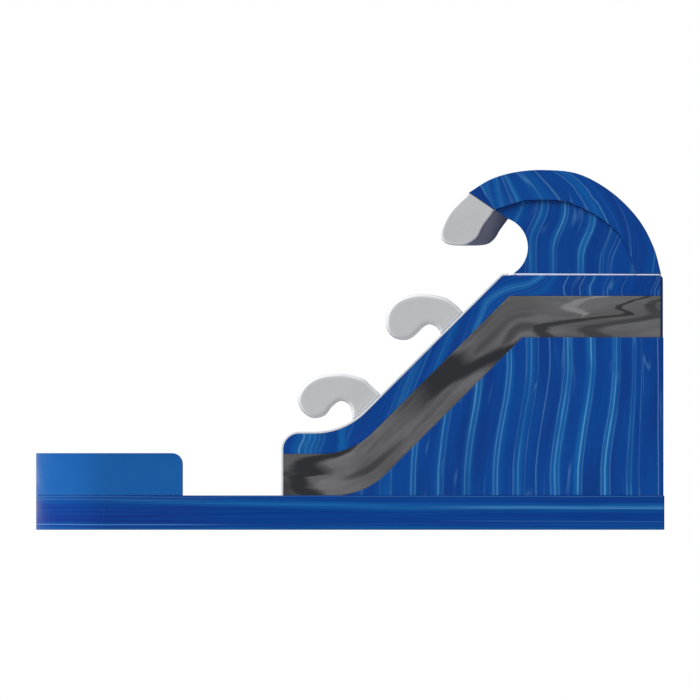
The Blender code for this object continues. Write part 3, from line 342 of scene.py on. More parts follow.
def inward(line):
    """For each point of the outline, the step that takes both of its edges in by 1."""
    ahead = np.roll(line, -1, axis=0) - line
    normal = np.stack([-ahead[:, 1], ahead[:, 0]], axis=1)
    normal /= np.linalg.norm(normal, axis=1)[:, None]
    before = np.roll(normal, 1, axis=0)
    return (normal + before) / (1 + np.sum(normal * before, axis=1))[:, None].clip(0.35)


def nearest(places, line, closed=True):
    """Distance of each place to the line, the arc length of the nearest point, and the side it lies on."""
    ends = np.roll(line, -1, axis=0) if closed else line[1:]
    starts = line if closed else line[:-1]
    along = ends - starts
    size = np.linalg.norm(along, axis=1)
    total = np.concatenate(([0], np.cumsum(size)))[:-1]
    gap = places[:, None] - starts[None]
    share = (np.sum(gap * along[None], axis=2) / (size ** 2)[None]).clip(0, 1)
    offset = gap - along[None] * share[..., None]
    distance = np.linalg.norm(offset, axis=2)
    best = distance.argmin(axis=1)
    rows = np.arange(len(places))
    side = along[best, 0] * gap[rows, best, 1] - along[best, 1] * gap[rows, best, 0]
    return distance[rows, best], total[best] + share[rows, best] * size[best], np.sign(side)


def inside(places, line):
    """Whether each place lies inside the outline."""
    ahead = np.roll(line, -1, axis=0)
    x, y = places[:, None, 0], places[:, None, 1]
    spans = (line[None, :, 1] > y) != (ahead[None, :, 1] > y)
    rise = ahead[:, 1] - line[:, 1]
    rise = np.where(np.abs(rise) < NEAR_ZERO, NEAR_ZERO, rise)
    cross = line[None, :, 0] + (y - line[None, :, 1]) * (ahead[:, 0] - line[:, 0])[None] / rise[None]
    return (np.sum(spans & (x < cross), axis=1) % 2) == 1


def hoop(a, b, count):
    """Faces between two rings of points, one from number a and one from number b."""
    return [(a + i, a + (i + 1) % count, b + (i + 1) % count, b + i) for i in range(count)]


def hoops(rows, count, closed=False):
    """Faces of a tube through rings of points. A closed one joins its last ring to its first."""
    return [face for k in range(rows if closed else rows - 1)
            for face in hoop(k * count, (k + 1) % rows * count, count)]


def strips(start, size):
    """Faces across a ring of points, from its first half to its second."""
    return [(start + i, start + i + 1, start + size - 2 - i, start + size - 1 - i) for i in range(size // 2 - 1)]


def filled(line, edge, draw):
    """The face inside an outline, round at its edge: free points (u, v, depth, place along the seam,
    distance from it), and triangles, whose numbers count the outline's points first."""
    count = len(line)
    miter = inward(line)
    rounds = [edge * (1 - math.cos(math.pi / 2 * i / ROUND_STEPS)) for i in range(1, ROUND_STEPS + 1)]
    depths = rounds + [edge + more for more in ROW_DEPTHS]
    low, high = line.min(axis=0), line.max(axis=0)
    across, up = np.meshgrid(np.arange(low[0] + GRID / 2, high[0], GRID),
                             np.arange(low[1] + GRID / 2, high[1], GRID))
    grid = np.stack([across.ravel(), up.ravel()], axis=1)
    grid[:, 0] += GRID / 2 * (np.round(grid[:, 1] / GRID) % 2)
    free, taken = [], set()
    for row, depth in zip([line + miter * depth for depth in depths] + [grid], depths + [edge + GRID_DEPTH]):
        distance, _, _ = nearest(row, line)
        cell = FINE_CELL if depth in rounds else COARSE_CELL
        for p in row[(distance > LEAST_DEPTH_SHARE * depth) & inside(row, line)]:
            key = (round(p[0] / cell), round(p[1] / cell), cell)
            if key not in taken:
                taken.add(key)
                free.append(p)
    points = [Vector(p) for p in line] + [Vector(p) for p in free]
    found, _, triangles, origins, _, _ = delaunay_2d_cdt(points, [], [list(range(count))], 1, 1e-6)
    renamed, kept = {}, []
    for i, (p, sources) in enumerate(zip(found, origins)):
        own = [s for s in sources if s < count]
        if own:
            renamed[i] = min(own)
        else:
            renamed[i] = count + len(kept)
            kept.append(tuple(p))
    kept = np.array(kept).reshape(-1, 2)
    distance, along, _ = nearest(kept, line) if len(kept) else (np.zeros(0), np.zeros(0), None)
    turn = np.arccos((1 - np.minimum(distance, edge) / edge).clip(0, 1))
    past = (distance - edge).clip(0)
    depth = edge * (1 - np.sin(turn)) + draw * np.exp(-past / DRAW_REACH)
    gap = edge * np.abs(turn - math.pi / 4) + past
    return np.column_stack([kept, depth, along, gap]), [tuple(renamed[v] for v in t) for t in triangles]


def capped(rows, seam, line, low, high, edge, draw):
    """A tube through rings of points (u, v, w), closed at both ends by the face inside an outline.
    Returns points, faces, and for each point its place along the seam and its distance from it."""
    count = len(line)
    faces = hoops(len(rows), count)
    free, triangles = filled(line, edge, draw)
    total = len(rows) * count
    parts, seams = list(rows), list(seam)
    for level, ring_start, shift in ((low + free[:, 2], 0, total), (high - free[:, 2], total - count,
                                                                  total + len(free))):
        parts.append(np.column_stack([free[:, :2], level]))
        seams.append(free[:, 3:])
        faces += [tuple(ring_start + v if v < count else shift + v - count for v in t) for t in triangles]
    return np.concatenate(parts), faces, np.concatenate(seams)


def puffed(outline, low, high, edge, draw=SKIN_DRAW):
    """A tight air chamber: an outline with a thickness, with round edges and sides that swell past them."""
    line = tidy_outline(outline)
    count = len(line)
    length = lengths(line)
    thick = high - low
    edge = min(edge, 0.45 * thick)
    straight = thick - 2 * (edge + draw)
    parts = max(1, round(straight / WIDTH_STEP))
    rows, seam = [], []
    for i in range(parts + 1):
        away = straight * i / parts
        rows.append(np.column_stack([line, np.full(count, low + draw + edge + away)]))
        seam.append(np.column_stack([length, np.full(count, min(away, straight - away) + edge * math.pi / 4)]))
    return capped(rows, seam, line, low, high, edge, draw)


def section(a_low, a_high, b_low, b_high, edge):
    """A box section with round corners: points (a, b), and each one's distance from the nearest corner."""
    line = tidy_outline(soft_box(a_low, a_high, b_low, b_high, edge))
    corners = np.array([(a, b) for a in (a_low, a_high) for b in (b_low, b_high)])
    gap = np.linalg.norm(line[:, None] - corners[None], axis=2).min(axis=1)
    return line, (gap - edge * (math.sqrt(2) - 1)).clip(0)


def swept(rings, gaps, along):
    """A tube through rings of points with as many each, closed by flat ends."""
    count = len(rings[0])
    points = [np.asarray(ring, float) for ring in rings]
    seam = [np.column_stack([np.full(count, place), gap]) for gap, place in zip(gaps, along)]
    faces = hoops(len(rings), count)
    total = len(rings) * count
    for last in (0, total - count):
        ring = points[last // count]
        centre = ring.mean(axis=0)
        size = np.linalg.norm(ring - centre, axis=1).mean()
        for share in (0.9, 0.7, 0.4, 0.12):
            points.append(centre + (ring - centre) * share)
            seam.append(np.column_stack([np.full(count, size), np.full(count, size * (1 - share))]))
            faces += hoop(last, total, count)
            last = total
            total += count
        faces.append(tuple(range(last, last + count)))
    return np.concatenate(points), faces, np.concatenate(seam)


def side_view(found):
    """A shape drawn in the side view, with its thickness across the width."""
    points, faces, seam = found
    return points[:, [0, 2, 1]], faces, seam


def end_view(found):
    """A shape drawn in the end view, with its thickness along the length."""
    points, faces, seam = found
    return points[:, [2, 0, 1]], faces, seam


def plain_flow(points):
    """Across and along the streaks of a piece with no guide line."""
    return np.column_stack([points[:, 0] + 0.8 * (points[:, 1] + SIDE_Y), points[:, 2], 0.3 * points[:, 1]])


def add_piece(name, found, material, flow=plain_flow, body="slide", sharp=50):
    """A visible piece in place of the CAD node of its name."""
    points, faces, seam = found
    mesh = bpy.data.meshes.new(name)
    mesh.from_pydata([tuple(p) for p in points], [], faces)
    for label, values in (("flow", flow(points)), ("seam", np.column_stack([seam, np.zeros(len(seam))]))):
        attribute = mesh.attributes.new(label, "FLOAT_VECTOR", "POINT")
        attribute.data.foreach_set("vector", values.astype(np.float32).ravel())
    bm = bmesh.new()
    bm.from_mesh(mesh)
    bmesh.ops.remove_doubles(bm, verts=bm.verts, dist=MERGE / 2)
    bmesh.ops.recalc_face_normals(bm, faces=bm.faces)
    bm.to_mesh(mesh)
    bm.free()
    mesh.shade_smooth()
    mesh.set_sharp_from_angle(angle=math.radians(sharp))
    mesh.materials.append(material)
    thing = bpy.data.objects.new(name, mesh)
    bpy.context.scene.collection.objects.link(thing)
    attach(thing, body)
    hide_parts(name)
    thing.name = f"{name}_skin"


def add_chamber(name, outline, span, edge, draw, material, flow=plain_flow):
    """An air chamber with its outline in the side view, over a span of the width."""
    add_piece(name, side_view(puffed(outline, *span, edge, draw)), material, flow)


def side_span(side, inner, outer):
    """A span of the width, at the near side or the far one."""
    return sorted((side * inner, side * outer))


def lane_span(lane):
    """A lane's span of the width, a seat away from its neighbours."""
    return lane[0] + SEAT, lane[1] - SEAT


# ---- materials

LIGHT_LEVEL = 0.88
GLOSS = 0.006
DARKEST = 0.0004
WELD_WIDTH = 0.034
STITCH_INSET = 0.012
STITCH_PITCH = 0.018
STITCH_RATE = 900.0
WEAVE_SCALE = 420.0
WEB_RATE = 1400.0
GRAIN_SCALE = 60.0
BLACK = (0.0, 0.0, 0.0, 1)


def tone(red, green, blue):
    """A surface colour from how it looks in the light of the scene, from 0 to 255."""
    shares = [c / 255 for c in (red, green, blue)]
    linear = [c / 12.92 if c <= 0.04045 else ((c + 0.055) / 1.055) ** 2.4 for c in shares]
    return tuple(min(1, max(DARKEST, c - GLOSS) / LIGHT_LEVEL) for c in linear) + (1,)


class Graph:
    """A node tree, built from small steps."""

    def __init__(self, tree):
        self.tree = tree

    def node(self, kind, values=(), **settings):
        made = self.tree.nodes.new(kind)
        for key, value in settings.items():
            setattr(made, key, value)
        for place, value in dict(values).items():
            self.put(made.inputs[place], value)
        return made

    def put(self, socket, value):
        if isinstance(value, bpy.types.NodeSocket):
            self.tree.links.new(value, socket)
        else:
            socket.default_value = value

    def calc(self, kind, *values, clamp=False):
        return self.node("ShaderNodeMath", enumerate(values), operation=kind, use_clamp=clamp).outputs[0]

    def each(self, kind, values):
        """The same step from value to value."""
        total = values[0]
        for value in values[1:]:
            total = self.calc(kind, total, value)
        return total

    def add(self, *values):
        return self.each("ADD", values)

    def most(self, *values):
        return self.each("MAXIMUM", values)

    def seen(self, output, hidden, shown):
        """One shader for what the camera and reflections see, and another for light that bounces."""
        rays = self.node("ShaderNodeLightPath").outputs
        direct = self.most(rays["Is Camera Ray"], rays["Is Glossy Ray"], rays["Is Transmission Ray"])
        mix = self.node("ShaderNodeMixShader", {0: direct, 1: hidden.outputs[0], 2: shown.outputs[0]})
        self.node(output, {0: mix.outputs[0]})


class Recipe(Graph):
    """One procedural material."""

    def __init__(self, name, roughness, specular, metallic=0.0, sheen=0.0):
        self.material = bpy.data.materials.new(name)
        self.material.use_nodes = True
        super().__init__(self.material.node_tree)
        self.shader = self.tree.nodes["Principled BSDF"]
        for socket, value in (("Roughness", roughness), ("Specular IOR Level", specular),
                              ("Metallic", metallic), ("Sheen Weight", sheen)):
            self.put(self.shader.inputs[socket], value)

    def times(self, a, b):
        return self.calc("MULTIPLY", a, b)

    def less(self, a, b):
        return self.calc("SUBTRACT", a, b)

    def sway(self, noise, reach):
        """Noise as a shift to both sides."""
        return self.times(self.less(noise, 0.5), reach)

    def place(self):
        return self.node("ShaderNodeTexCoord").outputs["Object"]

    def split(self, vector):
        return self.node("ShaderNodeSeparateXYZ", {0: vector}).outputs

    def attribute(self, name):
        return self.split(self.node("ShaderNodeAttribute", attribute_name=name).outputs["Vector"])

    def noise(self, vector, scale, detail, rough=0.5):
        return self.node("ShaderNodeTexNoise", {"Vector": vector, "Scale": scale, "Detail": detail,
                                                "Roughness": rough}).outputs[0]

    def cells(self, x, y, z, detail=1.0, rough=0.5):
        """Noise over three values. The first two come with a scale each."""
        vector = self.node("ShaderNodeCombineXYZ", {0: self.times(*x), 1: self.times(*y), 2: z}).outputs[0]
        return self.noise(vector, 1.0, detail, rough)

    def spread(self, value, low, high, to_low=0.0, to_high=1.0):
        return self.node("ShaderNodeMapRange", {0: value, 1: low, 2: high, 3: to_low, 4: to_high},
                         interpolation_type="SMOOTHSTEP").outputs[0]

    def ramp(self, value, stops, mode):
        made = self.node("ShaderNodeValToRGB", {0: value})
        ramp = made.color_ramp
        ramp.interpolation = mode
        while len(ramp.elements) < len(stops):
            ramp.elements.new(1.0)
        for element, (place, _) in zip(ramp.elements, sorted(stops)):
            element.position = place
        for element, (_, shade) in zip(ramp.elements, sorted(stops)):
            element.color = (shade, shade, shade, 1) if isinstance(shade, (int, float)) else shade
        return made.outputs[0]

    def mix(self, share, a, b, kind="MIX"):
        return self.node("ShaderNodeMix", {0: share, 6: a, 7: b}, data_type="RGBA", blend_type=kind).outputs[2]

    def bump(self, height, distance, strength):
        """Raise the surface by height times distance, over what is raised already."""
        before = self.shader.inputs["Normal"].links
        made = self.node("ShaderNodeBump", {"Height": height, "Distance": distance, "Strength": strength})
        if before:
            self.put(made.inputs["Normal"], before[0].from_socket)
        self.put(self.shader.inputs["Normal"], made.outputs[0])


def add_skin_detail(m, colour):
    """What every welded PVC skin shows: weave, soft waves, puckers and a welded band at its seams, wear."""
    along, gap, _ = m.attribute("seam")
    place = m.place()
    near = m.calc("POWER", 2.718, m.times(gap, -24.0))
    fold = m.cells((along, 9.0), (gap, 2.2), 0.0, 2.0)
    m.bump(m.times(fold, near), 0.012, 0.55)
    m.bump(m.noise(place, 1.3, 2.0), 0.02, 0.35)
    weld = m.spread(gap, WELD_WIDTH, WELD_WIDTH + 0.004, 1.0, 0.0)
    m.bump(weld, 0.0006, 0.6)
    row = m.calc("PINGPONG", m.less(gap, STITCH_INSET), STITCH_PITCH / 2)
    on_row = m.spread(row, 0.0007, 0.0013, 1.0, 0.0)
    on_weld = m.spread(gap, WELD_WIDTH, WELD_WIDTH + 0.002, 1.0, 0.0)
    dash = m.spread(m.calc("SINE", m.times(along, STITCH_RATE)), -0.4, 0.1)
    stitch = m.times(m.times(on_row, on_weld), dash)
    m.bump(stitch, 0.0005, 0.8)
    weave = m.node("ShaderNodeTexMagic", {"Vector": place, "Scale": WEAVE_SCALE}, turbulence_depth=1).outputs[1]
    m.bump(weave, 0.00012, 0.4)
    thread = m.mix(1.0, colour, (1.5, 1.5, 1.5, 1), "MULTIPLY")
    colour = m.mix(m.times(weld, 0.05), colour, BLACK)
    colour = m.mix(m.times(stitch, 0.6), colour, thread)
    scuff = m.spread(m.noise(place, 7.0, 5.0, 0.7), 0.6, 0.74)
    pale = m.mix(0.25, thread, (0.5, 0.55, 0.6, 1))
    colour = m.mix(m.times(scuff, m.spread(gap, 0.0, 0.03, 0.12, 0.0)), colour, pale)
    m.put(m.shader.inputs["Base Color"], colour)
    rough = m.shader.inputs["Roughness"].default_value
    m.put(m.shader.inputs["Roughness"], m.spread(m.noise(place, 3.0, 4.0), 0.3, 0.7, rough - 0.06, rough + 0.1))


# The marbled print: where its bands (place, half width, strength) and veins (place, strength) lie across the
# streaks, in metres. The body's print repeats, and the others are placed once.
WELT_TAPER = 0.006
VEIN_HALF = 0.016
THIN_HALF = 0.012
LINES_EACH = 10
BODY_REPEAT = 5.3
BODY_BANDS = ((0.6, 0.15, 0.4), (1.04, 0.11, 0.5), (1.47, 0.11, 0.6), (1.94, 0.13, 0.8), (2.44, 0.12, 0.6),
              (2.8, 0.13, 0.5), (3.42, 0.13, 0.8), (3.79, 0.11, 0.9), (4.24, 0.12, 1.0), (4.65, 0.1, 0.4))
BODY_VEINS = ((0.2, 0.5), (0.496, 0.4), (0.679, 0.3), (1.012, 0.55), (1.079, 0.45), (1.462, 0.7),
              (1.546, 0.25), (1.912, 0.95), (1.99, 0.4), (2.396, 0.5), (2.46, 0.6), (2.72, 0.4), (2.8, 0.45),
              (2.912, 0.25), (3.1, 0.5), (3.346, 0.4), (3.412, 0.7), (3.479, 0.3), (3.796, 1.0), (3.862, 0.3),
              (4.18, 0.4), (4.246, 1.0), (4.329, 0.35), (4.61, 0.45), (4.68, 0.4), (4.81, 0.4), (5.13, 0.5))
PANEL_BANDS = ((2.685, 0.09, 0.5), (3.01, 0.11, 0.6), (3.37, 0.1, 0.65), (3.84, 0.11, 1.0), (4.2, 0.1, 0.35),
               (4.7, 0.08, 0.35))
PANEL_VEINS = ((2.685, 0.25), (2.92, 0.3), (3.0, 0.4), (3.1, 0.4), (3.385, 0.85), (3.44, 0.3), (3.8, 0.6),
               (3.88, 0.55), (4.16, 0.5), (4.29, 0.35), (4.36, 0.25), (4.7, 0.35))
WALL_BANDS = ((0.5, 0.38, 1.0), (1.35, 0.45, 0.7), (3.3, 0.45, 0.7), (4.2, 0.3, 0.4), (5.1, 0.25, 1.0),
              (5.5, 0.1, 0.5), (6.2, 0.1, 0.3))
WALL_VEINS = ((0.35, 1.0), (0.45, 0.5), (0.54, 0.7), (0.62, 0.5), (0.7, 0.45), (3.0, 0.4), (3.22, 0.8),
              (3.3, 0.5), (3.42, 0.4), (3.95, 0.2), (4.15, 0.3), (4.75, 0.25), (5.02, 0.6), (5.12, 0.85),
              (5.2, 0.5), (5.35, 0.4), (5.76, 0.55), (6.03, 0.5), (6.2, 0.6), (6.5, 0.3), (6.74, 0.45),
              (7.3, 0.4))
RIM_BANDS = ((0.42, 0.1, 0.4), (2.64, 0.13, 0.5), (3.22, 0.22, 0.35), (3.53, 0.08, 0.7), (3.71, 0.09, 0.9),
             (3.91, 0.1, 1.0))
RIM_VEINS = ((0.42, 0.5), (2.53, 0.85), (2.75, 0.5), (3.045, 0.6), (3.54, 0.35), (3.6, 0.55), (3.68, 0.4),
             (3.82, 0.45), (3.98, 0.8))


def bands(m, value, places, mode="EASE"):
    """Soft bands across the value, from (place, half width, strength), as one ramp."""
    low = places[0][0] - 2 * places[0][1]
    span = places[-1][0] + 2 * places[-1][1] - low
    stops = [(0.0, 0.0), (1.0, 0.0)]
    for place, half, strength in places:
        stops += [((place - half - low) / span, 0.0), ((place - low) / span, strength),
                  ((place + half - low) / span, 0.0)]
    return m.ramp(m.calc("DIVIDE", m.less(value, low), span), stops, mode)


def veins(m, value, places, half=VEIN_HALF):
    """Thin lines across the value, from (place, strength), a few to each ramp so that they stay sharp."""
    rows = [(place, half, strength) for place, strength in places]
    return m.most(*[bands(m, value, rows[i:i + LINES_EACH], "LINEAR") for i in range(0, len(rows), LINES_EACH)])


def marble(name, band_places, vein_places, repeat=0.0, drift=0.02, welt=False):
    """The cloudy blue print: streaks along v, with bands and veins across u."""
    m = Recipe(name, roughness=0.38, specular=0.11)
    u, v, w = m.attribute("flow")
    slow, quick = m.cells((u, 0.8), (v, 0.6), w), m.cells((u, 2.8), (v, 1.7), w, 2.0)
    across = m.add(u, m.add(m.sway(slow, drift), m.sway(quick, drift / 2)))
    if repeat:
        across = m.calc("WRAP", across, repeat, 0.0)
    fade = m.spread(m.cells((u, 2.4), (v, 0.9), w), 0.34, 0.6)
    faint = m.spread(m.cells((across, 5.0), (v, 0.8), 4.0), 0.52, 0.66)
    wash = m.times(bands(m, across, band_places), m.spread(fade, 0.0, 1.0, 0.65, 1.0))
    vein = m.times(veins(m, across, vein_places), m.spread(fade, 0.0, 1.0, 0.3, 0.75))
    ridge = m.calc("ABSOLUTE", m.sway(m.cells((across, 4.2), (v, 0.5), 7.0), 34.0))
    hair = m.calc("SUBTRACT", 1.0, ridge, clamp=True)
    streak = m.cells((across, 12.0), (v, 0.8), w, 3.0)
    cloud = m.spread(m.cells((across, 2.2), (v, 0.45), w, 2.0), 0.35, 0.66)
    colour = m.mix(cloud, tone(14, 57, 127), tone(17, 66, 139))
    colour = m.mix(m.times(m.spread(streak, 0.4, 0.7, 0.0, 0.35), m.add(wash, 0.35)), colour, tone(24, 92, 160))
    colour = m.mix(m.times(wash, 0.75), colour, tone(28, 104, 167))
    light = m.most(vein, m.times(m.times(hair, faint), 0.25))
    colour = m.mix(light, colour, tone(106, 163, 204))
    if welt:
        x, _, z = m.split(m.place())
        level = m.calc("MULTIPLY_ADD", x, WELT_TAPER, z)
        top = CREST_BASE + TRIM_THICK + WELT_TAPER * PANEL_FOOT_X
        colour = m.mix(m.spread(level, top, top + 0.003, 1.0, 0.0), colour, tone(226, 228, 234))
    add_skin_detail(m, colour)
    return m.material


def base_marble(name):
    """The same print on the base tubes, where its streaks run level."""
    m = Recipe(name, roughness=0.4, specular=0.09)
    u, v, w = m.attribute("flow")
    slow, quick = m.cells((v, 0.3), (u, 1.0), w), m.cells((v, 0.9), (u, 3.0), w, 2.0)
    still = m.add(u, m.add(m.sway(slow, 0.05), m.sway(quick, 0.02)))
    sunk = m.add(still, m.spread(v, -5.4, 2.0, -0.12, 0.02))
    streak = m.cells((v, 0.35), (still, 30.0), w, 3.0)
    left, right = m.spread(v, -3.4, -1.6, 1.0, 0.0), m.spread(v, 1.0, 2.6)
    wash = m.most(m.times(bands(m, sunk, ((0.395, 0.1, 0.9),)), m.spread(v, -4.5, -1.0, 0.5, 1.0)),
                  bands(m, still, ((0.02, 0.07, 0.5), (0.7, 0.08, 0.4), (0.85, 0.06, 0.6))))
    vein = m.times(veins(m, still, ((0.09, 0.9), (0.505, 0.25)), THIN_HALF), m.add(left, 0.1))
    other = m.times(veins(m, sunk, ((0.16, 0.25), (0.38, 0.9), (0.405, 0.45)), THIN_HALF), m.add(right, 0.08))
    top = veins(m, still, ((0.556, 0.4), (0.64, 0.5), (0.75, 0.6), (0.88, 0.5)), THIN_HALF)
    # Painted shade: towards the left end, which is round in plan, the blue turns darker and more purple, to tone
    # down the key light there.
    dark = m.mix(left, tone(16, 58, 130), tone(26, 52, 126))
    colour = m.mix(m.spread(streak, 0.4, 0.66), dark, tone(19, 67, 140))
    colour = m.mix(m.times(wash, m.spread(streak, 0.3, 0.6, 0.4, 0.85)), colour, tone(28, 102, 164))
    colour = m.mix(m.times(m.most(vein, other, top), 0.85), colour, tone(90, 146, 192))
    add_skin_detail(m, colour)
    return m.material


# The grey print, in metres. Tongues that fold over are lines of (height over the lane, place along it, reach to
# the left, reach to the right), with how dark or light they are. Smudges are (place, height, half length, half
# height, lean, strength).
BAND_HEIGHT = 0.7
BAND_LENGTH = 8.0
LEAST_REACH = 0.0005
DARK_TONGUES = (
    (1.0, ((0.0, 0.46, 0.32, 0.36), (0.1, 0.34, 0.3, 0.32), (0.2, 0.26, 0.28, 0.3), (0.27, 0.25, 0.28, 0.26),
           (0.32, 0.3, 0.34, 0.26), (0.36, 0.5, 0.6, 0.36), (0.42, 0.44, 0.48, 0.42), (0.5, 0.37, 0.32, 0.4),
           (0.57, 0.42, 0.3, 0.42), (0.63, 0.66, 0.36, 0.48), (0.7, 1.1, 0.5, 0.65))),
    (1.0, ((0.0, 4.75, 0.5, 0.3), (0.08, 4.6, 0.5, 0.36), (0.14, 4.42, 0.5, 0.42), (0.22, 4.2, 0.55, 0.42),
           (0.28, 4.0, 0.6, 0.42), (0.34, 3.82, 0.85, 0.5), (0.4, 3.75, 1.05, 0.6), (0.47, 3.75, 1.35, 0.72),
           (0.55, 3.8, 1.35, 0.55), (0.61, 3.8, 1.5, 0.45), (0.7, 3.55, 1.7, 0.6))),
    (0.9, ((0.0, 5.5, 0.2, 0.2), (0.07, 5.36, 0.17, 0.22), (0.13, 5.31, 0.16, 0.25), (0.2, 5.42, 0.26, 0.3),
           (0.25, 5.75, 0.34, 0.34), (0.3, 6.1, 0.34, 0.36), (0.355, 6.72, 0.3, 0.16), (0.39, 6.86, 0.16, 0.08),
           (0.44, 6.74, 0.09, 0.09), (0.49, 6.63, 0.09, 0.1), (0.56, 6.74, 0.09, 0.09), (0.63, 6.95, 0.1, 0.09),
           (0.7, 7.22, 0.11, 0.09))),
    (0.7, ((0.0, 6.35, 0.34, 0.4), (0.08, 6.2, 0.28, 0.34), (0.15, 6.15, 0.22, 0.34), (0.22, 6.5, 0.34, 0.34),
           (0.3, 7.05, 0.4, 0.28), (0.38, 7.35, 0.28, 0.13), (0.5, 7.17, 0.12, 0.15), (0.6, 7.32, 0.13, 0.13),
           (0.7, 7.6, 0.13, 0.13))),
)
LIGHT_TONGUES = (
    (0.85, ((0.0, 6.05, 0.01, 0.01), (0.34, 6.05, 0.01, 0.01), (0.38, 6.1, 0.16, 0.1), (0.42, 5.98, 0.22, 0.16),
            (0.46, 5.84, 0.18, 0.22), (0.51, 5.8, 0.15, 0.22), (0.57, 5.92, 0.15, 0.18), (0.63, 6.08, 0.17, 0.17),
            (0.7, 6.42, 0.2, 0.17))),
    (0.25, ((0.0, 0.9, 0.2, 0.7), (0.2, 0.65, 0.15, 0.6), (0.28, 0.9, 0.2, 0.5), (0.4, 1.05, 0.25, 0.7),
            (0.55, 0.85, 0.12, 0.8), (0.7, 1.5, 0.2, 0.4))),
)
SMUDGES = ((1.75, 0.24, 0.85, 0.08, -0.04, 0.65), (1.4, 0.71, 0.85, 0.06, 0.0, 1.0),
           (2.7, 0.7, 0.9, 0.09, 0.0, 0.8), (5.0, 0.16, 0.45, 0.1, 0.1, 0.6),
           (0.05, 0.36, 0.5, 0.06, -0.02, 0.8), (0.1, 0.14, 0.5, 0.24, 0.0, 0.75),
           (3.2, 0.2, 0.9, 0.06, 0.03, 0.3), (4.6, 0.62, 0.6, 0.08, 0.0, 0.4),
           (4.7, 0.36, 0.7, 0.09, 0.0, 0.35), (3.2, 0.62, 0.7, 0.1, 0.05, 0.6))


def tongues(m, along, height, table):
    """How much the folds of the print cover a place: full on their lines, and 0 at their reach on each side."""
    found = []
    for strength, line in table:
        stops = [(t / BAND_HEIGHT, (s / BAND_LENGTH, left, right, 1)) for t, s, left, right in line]
        place, left, right = m.node("ShaderNodeSeparateColor", {0: m.ramp(height, stops, "CARDINAL")}).outputs
        gap = m.calc("MULTIPLY_ADD", place, -BAND_LENGTH, along)
        right, left = m.most(right, LEAST_REACH), m.most(left, LEAST_REACH)
        gap = m.most(m.calc("DIVIDE", gap, right), m.calc("DIVIDE", m.times(gap, -1.0), left))
        found.append(m.spread(gap, 0.3, 1.05, strength, 0.0))
    return m.most(*found)


def smudges(m, along, height):
    found = []
    for place, level, half, half_height, lean, strength in SMUDGES:
        x = m.less(along, place)
        y = m.calc("MULTIPLY_ADD", x, -lean, m.less(height, level))
        gap = m.add(*[m.calc("POWER", m.calc("ABSOLUTE", m.calc("DIVIDE", away, reach)), 2.0)
                      for away, reach in ((x, half), (y, half_height))])
        found.append(m.spread(gap, 0.0, 1.0, strength, 0.0))
    return m.most(*found)


def grey_marble(name):
    """Smoky grey streaks that run along the band and fold into tongues."""
    m = Recipe(name, roughness=0.42, specular=0.2)
    u, v, w = m.attribute("flow")
    level = m.add(m.calc("PINGPONG", u, BAND_HEIGHT), m.sway(m.cells((v, 1.3), (u, 3.0), w, 2.0), 0.05))
    along = m.add(v, m.sway(m.cells((v, 2.2), (u, 9.0), w, 3.0), 0.22))
    share = m.calc("DIVIDE", level, BAND_HEIGHT)
    dark = m.most(tongues(m, along, share, DARK_TONGUES), smudges(m, along, level))
    light = tongues(m, along, share, LIGHT_TONGUES)
    fine = m.cells((along, 1.6), (level, 15.0), w, 4.0, 0.6)
    broad = m.cells((along, 0.9), (level, 4.0), 3.0, 2.0)
    colour = m.mix(m.spread(broad, 0.35, 0.65), tone(84, 83, 84), tone(99, 99, 101))
    colour = m.mix(m.spread(fine, 0.46, 0.7, 0.0, 0.35), colour, tone(66, 66, 69))
    colour = m.mix(m.times(light, 0.75), colour, tone(138, 136, 137))
    colour = m.mix(dark, colour, tone(36, 37, 41))
    add_skin_detail(m, colour)
    return m.material


def plain_skin(name, colour, shade, roughness=0.38, specular=0.2, under=None, edge_light=None):
    """One colour of coated fabric, slightly cloudy. Its underside may be painted darker, as painted shade, and
    its round edges lighter, as painted light.
    """
    m = Recipe(name, roughness, specular)
    shown = m.mix(m.spread(m.noise(m.place(), 1.6, 4.0, 0.6), 0.3, 0.7), shade, colour)
    # Painted shade: where the flow's third value marks the underside, the colour turns to the darker under
    # colour.
    if under:
        shown = m.mix(m.attribute("flow")[2], shown, under)
    # Painted light: near the seams, on the round edges, the colour turns lighter; on the lip this stops near the
    # cut.
    if edge_light:
        share = m.spread(m.attribute("seam")[1], 0.01, 0.05, 1.0, 0.0)
        shown = m.mix(m.times(share, m.attribute("flow")[0]) if under else share, shown, edge_light)
    add_skin_detail(m, shown)
    return m.material


def webbing(name, colour):
    """Woven strap: a herringbone of fine ribs."""
    m = Recipe(name, roughness=0.75, specular=0.25, sheen=0.15)
    place = m.place()
    x, y, z = m.split(place)
    ribs = m.calc("SINE", m.times(m.add(x, z, m.times(y, 0.5)), WEB_RATE))
    cross = m.calc("SINE", m.times(m.add(x, y, m.times(z, -1.0)), WEB_RATE * 1.3))
    cloth = m.times(ribs, cross)
    m.bump(cloth, 0.0006, 0.8)
    # Painted shade: the grooves between the ribs are darker.
    shade = m.mix(m.spread(cloth, -0.6, 0.8), tuple(c * 0.45 for c in colour[:3]) + (1,), colour)
    fade = m.times(m.noise(place, 30.0, 3.0), 0.3)
    m.put(m.shader.inputs["Base Color"], m.mix(fade, shade, (0.2, 0.2, 0.21, 1)))
    return m.material


def hard(name, colour, other, roughness, metallic=0.0):
    """Metal or moulded plastic: fine grain, small scratches and a little dulling."""
    m = Recipe(name, roughness, 0.5, metallic)
    place = m.place()
    patch = m.noise(place, GRAIN_SCALE, 4.0, 0.6)
    m.put(m.shader.inputs["Base Color"], m.mix(m.spread(patch, 0.35, 0.7), colour, other))
    drawn = m.node("ShaderNodeMapping", {0: place, 3: (1.0, 12.0, 1.0)}).outputs[0]
    scratch = m.spread(m.noise(drawn, GRAIN_SCALE * 4, 2.0), 0.35, 0.7, roughness - 0.08, roughness + 0.14)
    m.put(m.shader.inputs["Roughness"], scratch)
    m.bump(patch, 0.0002, 0.5)
    return m.material


